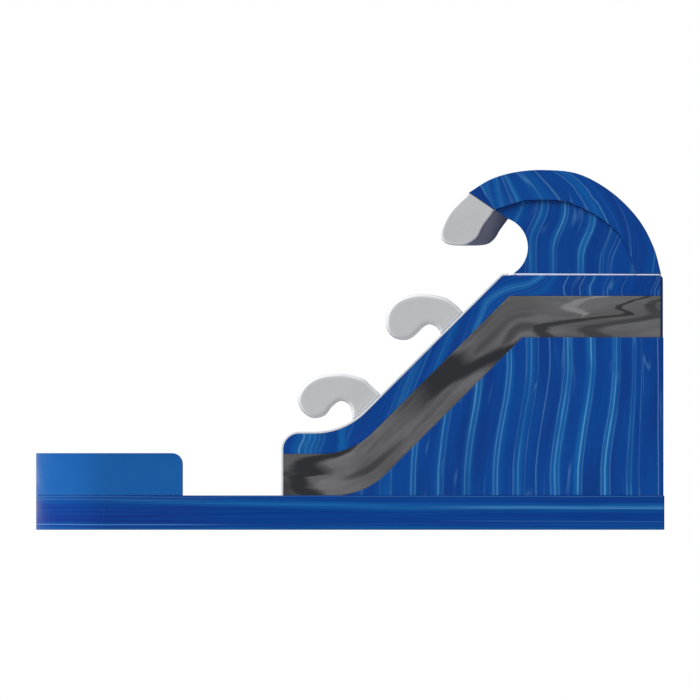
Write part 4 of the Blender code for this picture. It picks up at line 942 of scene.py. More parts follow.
MARBLE = marble("marbled blue PVC", BODY_BANDS, BODY_VEINS, BODY_REPEAT, drift=0.05)
PANEL_MARBLE = marble("marbled blue PVC of the panels", PANEL_BANDS, PANEL_VEINS, welt=True)
WALL_MARBLE = marble("marbled blue PVC of the walls", WALL_BANDS, WALL_VEINS, drift=0.08)
CREST = marble("marbled blue PVC of the crest", RIM_BANDS, RIM_VEINS, welt=True)
BASE = base_marble("marbled blue PVC of the base")
GREY = grey_marble("marbled grey PVC")
POOL = plain_skin("blue PVC", tone(32, 91, 158), tone(30, 88, 155), roughness=0.4, specular=0.09)
# The white pieces have their round edges painted lighter: a painted highlight on the upper edges, and painted
# light that evens out the shade on the lower ones.
FOAM = plain_skin("white PVC", tone(186, 186, 187), tone(180, 181, 183), specular=0.3,
                  edge_light=tone(208, 209, 212))
# The lip's underside is painted a darker grey-blue: painted shade.
TIP = plain_skin("white PVC with painted shade under the lip", tone(186, 186, 187), tone(180, 181, 183), specular=0.3,
                 under=tone(118, 120, 136), edge_light=tone(220, 221, 224))
TRIM = plain_skin("white trim PVC", tone(214, 216, 220), tone(200, 205, 212), specular=0.35)
MAT = plain_skin("wet mat PVC", tone(34, 104, 178), tone(28, 92, 164), roughness=0.22, specular=0.5)
STRAP = webbing("black webbing", (0.02, 0.02, 0.023, 1))
STEEL = hard("galvanised steel", (0.55, 0.56, 0.57, 1), (0.42, 0.43, 0.44, 1), 0.32, 1.0)
BRASS = hard("brass", (0.72, 0.52, 0.24, 1), (0.55, 0.38, 0.17, 1), 0.3, 1.0)
PIPE = hard("grey PVC pipe", (0.62, 0.63, 0.64, 1), (0.5, 0.51, 0.52, 1), 0.38)
LEVER = hard("red nylon", (0.5, 0.02, 0.02, 1), (0.36, 0.015, 0.015, 1), 0.42)


# ---- the base and the pool

def horseshoe_path(x_to):
    """The middle line of a tube round the pool's front, with the way out at each point."""
    radius = PLAN_RADIUS - WALL_WIDTH / 2
    centre_y = SIDE_Y - PLAN_RADIUS
    places, outward = [], []
    arm = x_to - BEAM_X
    if arm > MERGE:
        close = [0, 0.006, 0.02, 0.045, 0.08, 0.12, 0.16, 0.2]
        for x in close + list(np.linspace(0.28, arm, max(2, round((arm - 0.28) / PATH_STEP)))[:-1]):
            places.append((x_to - x, -(SIDE_Y - WALL_WIDTH / 2)))
            outward.append((0, -1))
    for i in range(19):
        angle = -math.pi / 2 - math.pi / 2 * i / 18
        places.append((BEAM_X + radius * math.cos(angle), -centre_y + radius * math.sin(angle)))
        outward.append((math.cos(angle), math.sin(angle)))
    for y in np.linspace(-centre_y, 0, 13)[1:-1]:
        places.append((BEAM_X - radius, y))
        outward.append((-1, 0))
    mirror, mirror_out = ([(x, -y) for x, y in reversed(half)] for half in (places, outward))
    return places + [(BEAM_X - radius, 0)] + mirror, outward + [(-1, 0)] + mirror_out


def make_tube(name, path, low, high, material, start_x, fall=0.0, round_start=False):
    """A level tube along a plan path. Both ends may fall away on a radius, or the first have a round edge."""
    places, outward = (np.array(values, float) for values in path)
    along = lengths(places)
    half = WALL_WIDTH / 2
    line, gap = section(-half, half, low, high, TUBE_ROUND)
    share = (line[:, 1] - low) / (high - low)
    rings, gaps = [], []
    for place, out, s in zip(places, outward, along):
        from_end = min(s, along[-1] - s) if fall else min(1.0, s) if round_start else 1.0
        pull = fall_back(TUBE_ROUND, from_end)
        up = line[:, 1] - share * fall_back(fall, from_end) + pull * (1 - 2 * share) * (fall == 0)
        across = line[:, 0] * (1 - pull / half)
        rings.append(np.column_stack([place[0] + out[0] * across, place[1] + out[1] * across, up]))
        gaps.append(np.minimum(gap, from_end))

    def flow(points):
        """Streaks run along the tube, and up and down its ends."""
        values = np.column_stack([points[:, 2], points[:, 1], np.zeros(len(points))])
        shell = len(along) * len(line)
        values[:shell, 0] = np.tile(line[:, 1] + 0.7 * (half - line[:, 0]), len(along))
        values[:shell, 1] = np.repeat(start_x - along, len(line))
        return values

    add_piece(name, swept(rings, gaps, along), material, flow)


def cross_flow(points):
    """Streaks that run across the width."""
    return np.column_stack([points[:, 2], points[:, 1], points[:, 0] * 0.2])


def make_base():
    make_tube("base_front", horseshoe_path(BEAM_X), 0, BASE_HEIGHT, BASE, BEAM_X)
    ends = [BACK_X - gap for gap in (0, 0.003, 0.008, 0.015, TUBE_ROUND, 0.05, 0.1)]
    places = ends + list(np.arange(BACK_X - 0.2, BEAM_X + 0.1, -0.12)) + [BEAM_X + SEAT]
    for name, side in SIDES.items():
        path = [(x, side * (SIDE_Y - WALL_WIDTH / 2)) for x in places], [(0, side)] * len(places)
        make_tube(f"base_{name}", path, 0, BASE_HEIGHT, BASE, BACK_X, round_start=True)
    half = INNER_Y - SEAT
    for name, height, x_from, x_to in (("base_rear", BASE_HEIGHT, BACK_X - WALL_WIDTH, BACK_X),
                                       ("base_deck", DECK_HEIGHT, FOOT_X, BACK_X - WALL_WIDTH - SEAT)):
        found = end_view(puffed(soft_box(-half, half, 0, height, 0), x_from, x_to, DECK_ROUND))
        add_piece(name, found, BASE, cross_flow)


def make_pool():
    arm_end = FRONT_X + POOL_WALL_LENGTH
    make_tube("pool_wall", horseshoe_path(arm_end), BASE_HEIGHT + SEAT, BASE_HEIGHT + POOL_WALL_RISE, POOL,
              arm_end, POOL_END_RADIUS)
    radius = PLAN_RADIUS - WALL_WIDTH + SEAT
    start, end = BEAM_X - radius + 2 * SEAT, FOOT_X - SEAT
    pitch = (end - start) / POOL_FLOOR_CHANNELS
    rings, gaps = [], []
    edge, low_edge = 0.04, 0.03
    places = np.concatenate((start + radius * (1 - np.cos(np.linspace(0.12, math.pi / 2, 22))),
                             np.arange(start + radius + 0.03, end - 0.03, 0.035), [end]))
    for x in places:
        depth = min(1, (x - start) / radius)
        half = SIDE_Y - PLAN_RADIUS + radius * math.sqrt(max(0, 1 - (1 - depth) ** 2)) - 2 * SEAT
        top = POOL_FLOOR_THICK - POOL_FLOOR_SEAM * (1 - math.sqrt(abs(math.sin(math.pi * (x - start) / pitch))))
        right = [(y, top) for y in np.linspace(0, half - edge, 17)[:-1]]
        right += [(half - edge + edge * math.sin(a), top - edge + edge * math.cos(a))
                  for a in np.linspace(0, math.pi / 2, 5)]
        right += [(half, low_edge), (half, 0)] + [(y, 0) for y in np.linspace(half, 0, 9)[1:]]
        ring = right + [(-y, z) for y, z in reversed(right[1:-1])]
        rings.append(np.array([(x, y, z) for y, z in ring]))
        gaps.append(np.full(len(ring), abs(((x - start) / pitch + 0.5) % 1 - 0.5) * pitch))
    points, faces, seam = swept(rings, gaps, places)
    seam[:, 0] = points[:, 1]
    add_piece("pool_floor", (points, faces, seam), MAT)


# ---- the chambers of the tower and its walls

LANE = np.array(lane_line(0, 0, FOOT_X, WALL_END_X))


def lane_place(points):
    """Place along the lane and height over it, square to it, of points in the side view."""
    distance, along, side = nearest(points[:, [0, 2]], LANE, closed=False)
    return along, distance * side


def slope_share(along, late=0.0):
    """1 over the straight slope and 0 over the flats."""
    foot, crown = RUNOUT_LENGTH, RUNOUT_LENGTH + (PLATFORM_HEIGHT - BASE_HEIGHT) / math.sin(SLOPE)
    return ease((along - foot + 0.5) / 0.8) * ease((min(crown, lengths(LANE)[-1]) + 0.2 + late - along) / 0.6)


def grey_flow(points):
    along, lift = lane_place(points)
    return np.column_stack([lift + 0.7 * (SIDE_Y - np.abs(points[:, 1])), along, 1.5 * np.sign(points[:, 1])])


def upper_flow(points):
    """Streaks that lean back over the slope, and wriggle over the flats."""
    along, lift = lane_place(points)
    lean = 0.15 + 2.2 * slope_share(along, 0.4)
    back = SIDE_Y - np.abs(points[:, 1])
    wriggle = 0.025 * np.sin(16 * (lift - LOWER_RISE) + 0.9 * along) * (1 - slope_share(along))
    return np.column_stack([along + wriggle - lean * (lift - LOWER_RISE - 0.17) + 0.6 * back, lift + back,
                            1.5 * np.sign(points[:, 1])])


def body_flow(points):
    """Streaks that rise, lean back and rise again, and less so at the back."""
    lean = 0.217 * ease((points[:, 2] - 0.9) / 1.9) * (1 - ease((points[:, 0] - 4.3) / 0.8))
    return np.column_stack([points[:, 0] - lean + 0.8 * (SIDE_Y - np.abs(points[:, 1])), points[:, 2],
                            0.3 * points[:, 1]])


def divider_flow(points):
    along, lift = lane_place(points)
    return np.column_stack([lift + 0.4 * (points[:, 1] - DIVIDER_Y[0]), along + 1.3, np.full(len(points), 5.0)])


def body_outline(lift, underside):
    """The outline of a chamber under the lane, which starts with a thin blunt tip on the base."""
    line = lane_line(lift, lift, FOOT_X, BODY_BACK_X)
    floor = line[0][1]
    tip = next(x for x, z in evenly(line[1:], 400) if z > floor + BODY_TIP)
    top = [(x, z - SEAT) for x, z in reversed(line[1:]) if z > floor + BODY_TIP]
    return [(tip, floor + SEAT)] + underside + top + [(tip, floor + BODY_TIP)]


def heel():
    """How the chambers under the lanes step up over the rear base tube."""
    step_x = BACK_X - WALL_WIDTH - SEAT
    return [(step_x, DECK_HEIGHT + SEAT), (step_x, BASE_HEIGHT + SEAT), (BODY_BACK_X, BASE_HEIGHT + SEAT)]


def make_bodies():
    for name, side in SIDES.items():
        add_chamber(f"{name}_body", body_outline(0, heel()[-1:]), side_span(side, INNER_Y + SEAT, SIDE_Y),
                    WALL_ROUND, WALL_DRAW, MARBLE, body_flow)
    for name, lane in (("climb", CLIMB_Y), ("slide", SLIDE_Y)):
        add_chamber(f"{name}_core", body_outline(-MAT_THICK, heel()), lane_span(lane), CORE_ROUND, SKIN_DRAW,
                    MARBLE)
    pad = PLATFORM_HEIGHT - MAT_THICK
    line = [(x, z - SEAT) for x, z in lane_line(0, 0, FOOT_X, BREAK_X)]
    outline = [(FOOT_X, DECK_HEIGHT + SEAT)] + heel() + [(BODY_BACK_X, pad), (BREAK_X, pad)] + line[::-1]
    add_chamber("divider_core", outline, lane_span(DIVIDER_Y), CORE_ROUND, SKIN_DRAW, MARBLE)


def nosed(foot, corner, after, radius):
    """A rounded front end, from a foot up to a corner and on to the next point."""
    return rounded([foot + (0,), corner + (radius,), after + (0,)])[1:-1]


def trim_top():
    line = lane_line(UPPER_RISE + TRIM_THICK, UPPER_SLOPE_RISE + TRIM_THICK, FOOT_X, PANEL_FOOT_X - SEAT)
    foot = (FOOT_X, BASE_HEIGHT + SEAT)
    return [foot] + nosed(foot, line[0], line[1], TRIM_CORNER_RADIUS) + line[1:]


def trim_under():
    line = lane_line(UPPER_RISE, UPPER_SLOPE_RISE, FOOT_X + TRIM_THICK, PANEL_FOOT_X - SEAT)
    foot = (FOOT_X + TRIM_THICK - SEAT, BASE_HEIGHT + SEAT)
    nose = nosed(foot, (foot[0], line[0][1]), line[1], TRIM_CORNER_RADIUS - TRIM_THICK)
    return [foot] + [(x, z + SEAT) for x, z in nose + line[1:]]


def make_trim(name, low, high):
    """The strip over a wall's edge: a flat section carried from its foot on the base to the wave."""
    line, gap = section(low, high, 0, TRIM_THICK, WALL_ROUND)
    share = line[:, 1] / TRIM_THICK
    pairs = [np.array(top + under) for top, under in zip(trim_top(), trim_under())]
    stations = [pairs[0]]
    for start, end in zip(pairs, pairs[1:]):
        parts = max(1, math.ceil(math.dist(start, end) / SPACING))
        stations += [start + (end - start) * (i + 1) / parts for i in range(parts)]
    rings = [np.column_stack([under_x + (x - under_x) * share, line[:, 0], under_z + (z - under_z) * share])
             for x, z, under_x, under_z in stations]
    add_piece(f"{name}_trim", swept(rings, [gap] * len(rings), lengths(np.array(stations))), TRIM)


def make_walls():
    front = FOOT_X + TRIM_THICK
    lane = lane_line(0, 0, front, WALL_END_X)
    seam = lane_line(LOWER_RISE, LOWER_SLOPE_RISE, front, WALL_END_X)
    top = lane_line(UPPER_RISE, UPPER_SLOPE_RISE, front, WALL_END_X)
    lower = lane + [(x, z - SEAT) for x, z in reversed(seam)]
    upper = seam + top[:0:-1] + nosed(seam[0], top[0], top[1], TRIM_CORNER_RADIUS - TRIM_THICK)[::-1]
    for name, side in SIDES.items():
        span = side_span(side, INNER_Y, SIDE_Y)
        add_chamber(f"{name}_wall_lower", lower, span, WALL_ROUND, WALL_DRAW, GREY, grey_flow)
        add_chamber(f"{name}_wall_upper", upper, span, WALL_ROUND, WALL_DRAW, WALL_MARBLE, upper_flow)
        make_trim(name, *span)
    half = INNER_Y - SEAT
    low = PLATFORM_HEIGHT - MAT_THICK + SEAT
    outline = soft_box(BACK_WALL_X - WALL_WIDTH, BACK_WALL_X, low, CREST_BASE, PAD_CORNER)
    add_chamber("back_wall", outline, (-half, half), PAD_ROUND, PAD_DRAW, MARBLE)
    lane = lane_line(0, 0, front, BREAK_X)
    top = lane_line(DIVIDER_RISE, DIVIDER_SLOPE_RISE, front, BREAK_X)
    outline = lane + top[:0:-1] + nosed(lane[0], top[0], top[1], DIVIDER_NOSE_RADIUS)[::-1]
    add_chamber("divider_wall", outline, lane_span(DIVIDER_Y), FULL_ROUND, SKIN_DRAW, GREY,
                divider_flow)


# ---- mats and steps

def make_mats():
    top = lane_line(0, 0, FOOT_X, BREAK_X - SEAT)
    under = lane_line(-MAT_THICK, -MAT_THICK, FOOT_X, BREAK_X - SEAT)
    outline = top + [(x, z + SEAT) for x, z in reversed(under)]
    add_chamber("climb_bed", outline, lane_span(CLIMB_Y), DECK_ROUND, SKIN_DRAW, MAT)
    low = PLATFORM_HEIGHT - MAT_THICK
    half = INNER_Y - SEAT
    outline = soft_box(BREAK_X, BACK_WALL_X - WALL_WIDTH - SEAT, -half, half, PAD_CORNER)
    add_piece("platform_pad", puffed(outline, low + SEAT, PLATFORM_HEIGHT, PAD_ROUND, PAD_DRAW), MAT)
    make_slide_bed(top, under)
    for i in range(STEP_COUNT):
        outline = arc(slope_point(STEP_FIRST + i * STEP_PITCH, SEAT), STEP_RADIUS, SLOPE, math.pi)
        add_chamber(f"step_{i + 1}", outline, (CLIMB_Y[0] + STEP_INSET, CLIMB_Y[1] - STEP_INSET), STEP_ROUND,
                    FIRM_DRAW, FOAM)


def make_slide_bed(top, under):
    """Channels side by side along the lane, each a crowned tube with a seam on both sides."""
    left, right = lane_span(SLIDE_Y)
    steps, rows = 12, 90
    count = CHANNEL_COUNT * steps + 1
    across = np.linspace(left, right, count)
    share = (np.arange(count) % steps) / steps
    crown = CHANNEL_SEAM * (1 - np.sin(math.pi * share) ** 0.7)
    gap = (right - left) / CHANNEL_COUNT * np.minimum(share, 1 - share)
    line, floor = (np.concatenate([[(side[0][0] + d, side[0][1]) for d in (0, 0.003, 0.009, 0.018, DECK_ROUND)],
                                   evenly(side, rows)[1:]]) for side in (top, under))
    points, seam = [], []
    for place, below, s in zip(line, floor, lengths(line)):
        down = (below - place) / MAT_THICK
        dip = crown + fall_back(DECK_ROUND, s)
        upper = np.column_stack([place[0] + down[0] * dip, across, place[1] + down[1] * dip])
        lower = np.column_stack([np.full(count, below[0]), across, np.full(count, below[1] + SEAT)])
        points.append(np.concatenate([upper, lower[::-1]]))
        seam.append(np.column_stack([np.full(2 * count, s), np.concatenate([gap, np.full(count, 0.1)])]))
    ring = 2 * count
    faces = hoops(len(line), ring) + strips(0, ring) + strips((len(line) - 1) * ring, ring)
    add_piece("slide_bed", (np.concatenate(points), faces, np.concatenate(seam)), MAT)


# ---- the wave

def crest_point(reach, rise):
    return CREST_BACK_X - reach * CREST_REACH, CREST_BASE + rise * CREST_RISE


def coarse_inner():
    """The rim's inner line as the CAD draws it, from the back to near the knee."""
    coarse = smooth([crest_point(*share) for share in RIM_OUTER_SHARES], 2)
    stop = round((len(coarse) - 1) * INNER_STOP_SHARE)
    spread_from, spread_to = RIM_SPREAD_SHARES
    inner = []
    for i in range(stop):
        ahead, behind = Vector(coarse[i + 1]), Vector(coarse[max(i - 1, 0)])
        way = Vector((behind.y - ahead.y, ahead.x - behind.x)).normalized()
        share = min(1, max(0, (i / stop - spread_from) / (spread_to - spread_from)))
        place = Vector(coarse[i]) + way * (RIM_BACK_WIDTH + (RIM_FRONT_WIDTH - RIM_BACK_WIDTH) * share)
        inner.append((place.x, max(place.y, CREST_BASE) if i else CREST_BASE))
    return inner


def rim_lines():
    """The rim's outer and inner lines, finely divided, and the corners of the slanted cut."""
    outer = smooth([crest_point(*share) for share in RIM_OUTER_SHARES], 8)
    start = Vector(outer[-1])
    along = Vector((math.cos(CUT_ANGLE), math.sin(CUT_ANGLE)))
    knee = start + along * (CUT_LENGTH * KNEE_SHARE)
    end = start + along * CUT_LENGTH
    inner = smooth(coarse_inner() + [tuple(knee)], 4)[:-1]
    return outer, inner, (tuple(start), tuple(knee), tuple(end))


OUTER, INNER, (CUT_START, KNEE, CUT_END) = rim_lines()

# How much the streaks of the rim lean, by their place along its outer line
RIM_LEANS = ((0.0, 2.0), (0.5, 2.6), (1.0, 3.0), (2.3, 3.1), (2.53, 2.8), (2.75, 1.9), (3.05, 0.95), (3.45, 0.4),
             (3.6, 0.15), (3.7, -0.3), (3.82, -0.4), (3.98, 0.0))
LEAN_ROUNDS = 30

# How finely the lip is divided, round its section and over the width
LIP_POINTS = 34
UNDER_POINTS = 30
CUT_POINTS = 12
ROLL_STATIONS = 12
TIP_STEP = 0.2


def rim_flow(points):
    """Streaks cross the rim near the cut, slant over the crown, and run along it at the back foot."""
    distance, along, _ = nearest(points[:, [0, 2]], np.array(OUTER), closed=False)
    places, leans = zip(*RIM_LEANS)
    start = along
    for _ in range(LEAN_ROUNDS):
        start = 0.5 * start + 0.5 * (along + np.interp(start, places, leans) * distance)
    back = BASE_WIDTH / math.pi * np.cos(math.pi * points[:, 1] / BASE_WIDTH)
    return np.column_stack([start + 0.25 * back, distance - 0.7 * back, 0.2 * points[:, 1]])


def panel_flow(points):
    """Streaks that rise, lean back and rise again."""
    middle = 5.0 - 0.28 * (points[:, 0] - 3.5)
    back = SIDE_Y - PANEL_RECESS - np.abs(points[:, 1])
    u = points[:, 0] - 0.2 * ease((points[:, 2] - middle + 0.35) / 0.7) + 0.8 * back
    return np.column_stack([u, points[:, 2], 0.6 * np.sign(points[:, 1])])


def panel_outline():
    """The recessed panel: it follows the rim's inner line, and its front edge is hollow."""
    middle = sum((Vector(p) for p in INNER), Vector((0, 0))) / len(INNER)
    rim = []
    for p in INNER[1:] + [KNEE]:
        toward = (middle - Vector(p)).normalized()
        rim.append(tuple(Vector(p) + toward * PANEL_SEAT))
    bottom = CREST_BASE + SEAT
    foot, top = Vector((PANEL_FOOT_X, bottom)), Vector(CUT_END)
    chord = top - foot
    hollow = chord.orthogonal().normalized()
    hollow = hollow if hollow.x > 0 else -hollow
    radius = ((chord.length / 2) ** 2 + PANEL_BULGE ** 2) / (2 * PANEL_BULGE)
    centre = (foot + top) / 2 + hollow * (PANEL_BULGE - radius)
    front = arc_between(centre, radius, foot - centre, top - centre)
    return [(INNER[0][0] - SEAT, bottom)] + rim + front[::-1]


def make_canopy():
    first, last = ((x, z + SEAT) for x, z in (OUTER[0], INNER[0]))
    outline = [first] + OUTER[1:] + [KNEE] + INNER[:0:-1] + [last]
    add_chamber("wave_roof", outline, (-SIDE_Y, SIDE_Y), ROOF_ROUND, FIRM_DRAW, CREST, rim_flow)
    panel = panel_outline()
    for name, side in SIDES.items():
        add_chamber(f"{name}_wave_panel", panel, side_span(side, INNER_Y, SIDE_Y - PANEL_RECESS), TUBE_ROUND,
                    WALL_DRAW, PANEL_MARBLE, panel_flow)
    make_tip()


def make_tip():
    """The white lip: thin like the rim at the sides, and rolled full under the middle of the width."""
    back = np.array(Vector((math.sin(CUT_ANGLE), -math.cos(CUT_ANGLE))).normalized() * SEAT)
    knee, start, end = (np.array(p) + back for p in (KNEE, CUT_START, CUT_END))
    front = smooth([CUT_START] + [crest_point(*share) for share in TIP_OUTER_SHARES], 5)
    at_side, at_middle = (smooth([front[-1]] + [crest_point(*share) for share in shares] + [tuple(stop)], 5)
                          for shares, stop in ((TIP_SIDE_SHARES, knee), (TIP_MIDDLE_SHARES, end)))
    lip = evenly(front, LIP_POINTS)
    lip[0] = start
    side = np.concatenate([lip, evenly(at_side, UNDER_POINTS)[1:], evenly([knee, start], CUT_POINTS)[1:-1]])
    middle = np.concatenate([lip, evenly(at_middle, UNDER_POINTS)[1:],
                             evenly([end, knee, start], CUT_POINTS)[1:-1]])
    under = np.repeat((0.0, 1.0, 0.0), (LIP_POINTS, UNDER_POINTS - 1, CUT_POINTS - 2))
    if clockwise(side):
        side, middle, under = side[::-1], middle[::-1], under[::-1]
    stations = [(PANEL_RECESS + share * TIP_ROLL, share) for share in np.linspace(0, 1, ROLL_STATIONS)]
    stations += [(y, 1.0) for y in np.arange(PANEL_RECESS + TIP_ROLL + TIP_STEP, SIDE_Y, TIP_STEP)]
    rings = [(side, PAD_ROUND)]
    for inset, share in stations:
        full = math.sin(share * math.pi / 2)
        rings.append((side * (1 - full) + middle * full, inset))
    near = [np.column_stack([ring, np.full(len(ring), inset - SIDE_Y)]) for ring, inset in rings]
    rows = near + [row * (1, 1, -1) for row in reversed(near)]
    from_seam = [SIDE_Y - abs(row[0, 2]) - PAD_ROUND * (1 - math.pi / 4) for row in rows]
    seam = [np.column_stack([lengths(side), np.full(len(side), gap)]) for gap in from_seam]
    found = side_view(capped(rows, seam, side, -SIDE_Y, SIDE_Y, PAD_ROUND, 0.0))
    shade = np.zeros(len(found[0]))
    shade[:len(rows) * len(side)] = np.tile(under, len(rows))
    cut = np.array(KNEE) - np.array(CUT_START)
    square = np.array((cut[1], -cut[0])) / np.linalg.norm(cut)

    def flow(points):
        """How far a point is from the cut, which keeps the painted edge light off the cut; its height; and
        whether it is on the underside, which gets painted shade.
        """
        away = np.abs((points[:, [0, 2]] - np.array(CUT_START)) @ square)
        return np.column_stack([np.clip((away - 0.03) / 0.06, 0, 1), points[:, 2], shade])

    add_piece("wave_tip", found, TIP, flow)


# ---- the curls

def trim_height(x):
    line = trim_top()[2:]
    for (x_low, z_low), (x_high, z_high) in zip(line, line[1:]):
        if x_low <= x <= x_high:
            return z_low + (z_high - z_low) * (x - x_low) / (x_high - x_low)
    return line[-1][1]


def curl_outline(shares, foot_shares, back, drop):
    """A curl whose foot follows the trim, placed by its back end."""
    left = FOOT_X + back - CURL_LENGTH
    level = trim_height(FOOT_X + back) - drop
    points = smooth([(left + u * CURL_LENGTH, level + v * CURL_HEIGHT) for u, v in shares], 4)
    feet = [left + share * CURL_LENGTH for share in foot_shares]
    return points + [(x, trim_height(x) + SEAT) for x in feet]


def make_curls():
    curls = {"lower": curl_outline(LOWER_CURL_SHARES, LOWER_FOOT_SHARES, LOWER_CURL_BACK, LOWER_CURL_DROP),
             "upper": curl_outline(UPPER_CURL_SHARES, UPPER_FOOT_SHARES, UPPER_CURL_BACK, UPPER_CURL_DROP)}
    for name, side in SIDES.items():
        middle = side * (SIDE_Y - WALL_WIDTH / 2)
        for level, outline in curls.items():
            add_chamber(f"{name}_{level}_curl", outline, (middle - CURL_WIDTH / 2, middle + CURL_WIDTH / 2),
                        FULL_ROUND, 0.0, FOAM)


# ---- small pieces

SLEEVE_SKIN = 0.0016
FOLD_COUNT = 11
FOLD_DEPTH = 0.004
TIED_DEPTH = 0.006
TIED_REACH = 0.07
COIL_PITCH = 0.0055
COIL_STAGGER = 0.0008
COIL_BEVEL = 0.0009
TAPE_BEVEL = 0.0006
FLAP_BEND = 0.012
FLAP_SAG = 0.0015
FLAP_SKIN = 0.0016
HANDLE_FLAT = 0.92


def tube(path, loop, closed=False):
    """Rows of a loop's points (a, b) carried along a path of frames (place, a way, b way)."""
    rows = [np.array([place + a * across + b * up for a, b in loop]) for place, across, up in path]
    count = len(loop)
    faces = hoops(len(rows), count, closed)
    if not closed:
        faces += [tuple(range(count)), tuple(range((len(rows) - 1) * count, len(rows) * count))]
    steps = np.repeat(np.arange(len(rows)) * 0.01, count)
    return np.concatenate(rows), faces, np.column_stack([steps, np.full(len(steps), 0.5)])


def directions(line):
    """The way the line runs at each of its points."""
    ahead = np.gradient(line, axis=0)
    return ahead / np.linalg.norm(ahead, axis=1)[:, None]


def frames(line, fixed):
    """Frames along a line of 3-D points: the fixed way, and the way square to it and to the line."""
    line, fixed = np.array(line, float), np.array(fixed, float)
    return [(p, fixed, np.cross(t, fixed)) for p, t in zip(line, directions(line))]


def add_strap(name, path, width, thick, closed=False):
    """A strap along a path of frames, with soft edges."""
    half, edge = width / 2, thick / 2
    loop = [(half - edge + edge * math.cos(a), edge * math.sin(a)) for a in np.linspace(-1.57, 1.57, 5)]
    loop += [(a, edge) for a in np.linspace(half - edge, edge - half, 8)[1:-1]]
    loop += [(-a, -b) for a, b in loop]
    add_piece(name, tube(path, loop, closed), STRAP)


def make_inlet():
    count, rows = 64, 40
    turns = [2 * math.pi * i / count for i in range(count)]

    def ring(y, inset):
        """A ring of the sleeve's wall, with soft folds that are deeper under the strap."""
        flare = SLEEVE_FLARE * max(0, 1 - (SLEEVE_LENGTH - y) / SLEEVE_HEM) ** 1.5
        tied = math.exp(-((y - STRAP_PLACE - STRAP_WIDTH / 2 - SEAT) / TIED_REACH) ** 2)
        fold = FOLD_DEPTH * math.sin(y * 3.1 / SLEEVE_LENGTH) + TIED_DEPTH * tied
        places = []
        for turn in turns:
            wave = 0.5 + 0.5 * math.cos(FOLD_COUNT * turn + 1.5 * math.sin(2 * turn) + y * 3)
            radius = SLEEVE_RADIUS + flare - fold * wave - SLEEVE_SKIN / 2 - inset
            places.append((SLEEVE_X + radius * math.cos(turn), SIDE_Y + SEAT + y,
                           SLEEVE_Z + radius * math.sin(turn)))
        return places

    levels = [SLEEVE_LENGTH * k / rows for k in range(rows + 1)]
    rings = [ring(y, 0) for y in levels] + [ring(y, SLEEVE_SKIN) for y in reversed(levels)]
    points = np.array(rings).reshape(-1, 3)
    turn = np.tile(np.arange(count) * 2 * math.pi / count * SLEEVE_RADIUS, len(rings))
    gap = np.minimum(points[:, 1] - SIDE_Y, SIDE_Y + SLEEVE_LENGTH - points[:, 1]).clip(0)
    found = points, hoops(len(rings), count, closed=True), np.column_stack([turn, gap])
    add_piece("inlet_sleeve", found, POOL)
    radius = SLEEVE_RADIUS + SEAT + STRAP_THICK / 2
    centre = np.array((SLEEVE_X, SIDE_Y + STRAP_PLACE + STRAP_WIDTH / 2, SLEEVE_Z))
    ways = [np.array((math.cos(a), 0, math.sin(a))) for a in [2 * math.pi * i / 72 for i in range(72)]]
    path = [(centre + way * radius, np.array((0, 1.0, 0)), way) for way in ways]
    add_strap("inlet_strap", path, STRAP_WIDTH, STRAP_THICK, closed=True)


def block(low, high, soft):
    """A small block with its front edges broken: its points and faces."""
    (x0, y0, z0), (x1, y1, z1) = low, high
    ring = [(x0, z0), (x1, z0), (x1, z1), (x0, z1)]
    front = [(x0 + soft, z0 + soft), (x1 - soft, z0 + soft), (x1 - soft, z1 - soft), (x0 + soft, z1 - soft)]
    points = [(x, y0, z) for x, z in ring] + [(x, y1 - soft, z) for x, z in ring] + [(x, y1, z) for x, z in front]
    return points, [(3, 2, 1, 0)] + hoops(3, 4) + [(8, 9, 10, 11)]


def make_zip():
    face = SIDE_Y + SEAT
    level = face + ZIP_THICK
    blocks = [block((ZIP_X, face, ZIP_Z - ZIP_WIDTH / 2), (ZIP_X + ZIP_LENGTH, level, ZIP_Z + ZIP_WIDTH / 2),
                    TAPE_BEVEL)]
    for i in range(int(ZIP_LENGTH / COIL_PITCH) - 1):
        x = ZIP_X + COIL_PITCH * (i + 0.5)
        shift = COIL_STAGGER * (1 if i % 2 else -1)
        low = (x, level - 0.0002, ZIP_Z - COIL_WIDTH / 2 + max(0, shift))
        high = (x + COIL_PITCH * 0.72, level + COIL_THICK, ZIP_Z + COIL_WIDTH / 2 + min(0, shift))
        blocks.append(block(low, high, COIL_BEVEL))
    points, faces = [], []
    for own, sides in blocks:
        faces += [tuple(len(points) + v for v in side) for side in sides]
        points += own
    points = np.array(points)
    seam = np.column_stack([points[:, 0], np.full(len(points), 0.5)])
    add_piece("zip_tape", (points, faces, seam), STRAP, sharp=30)


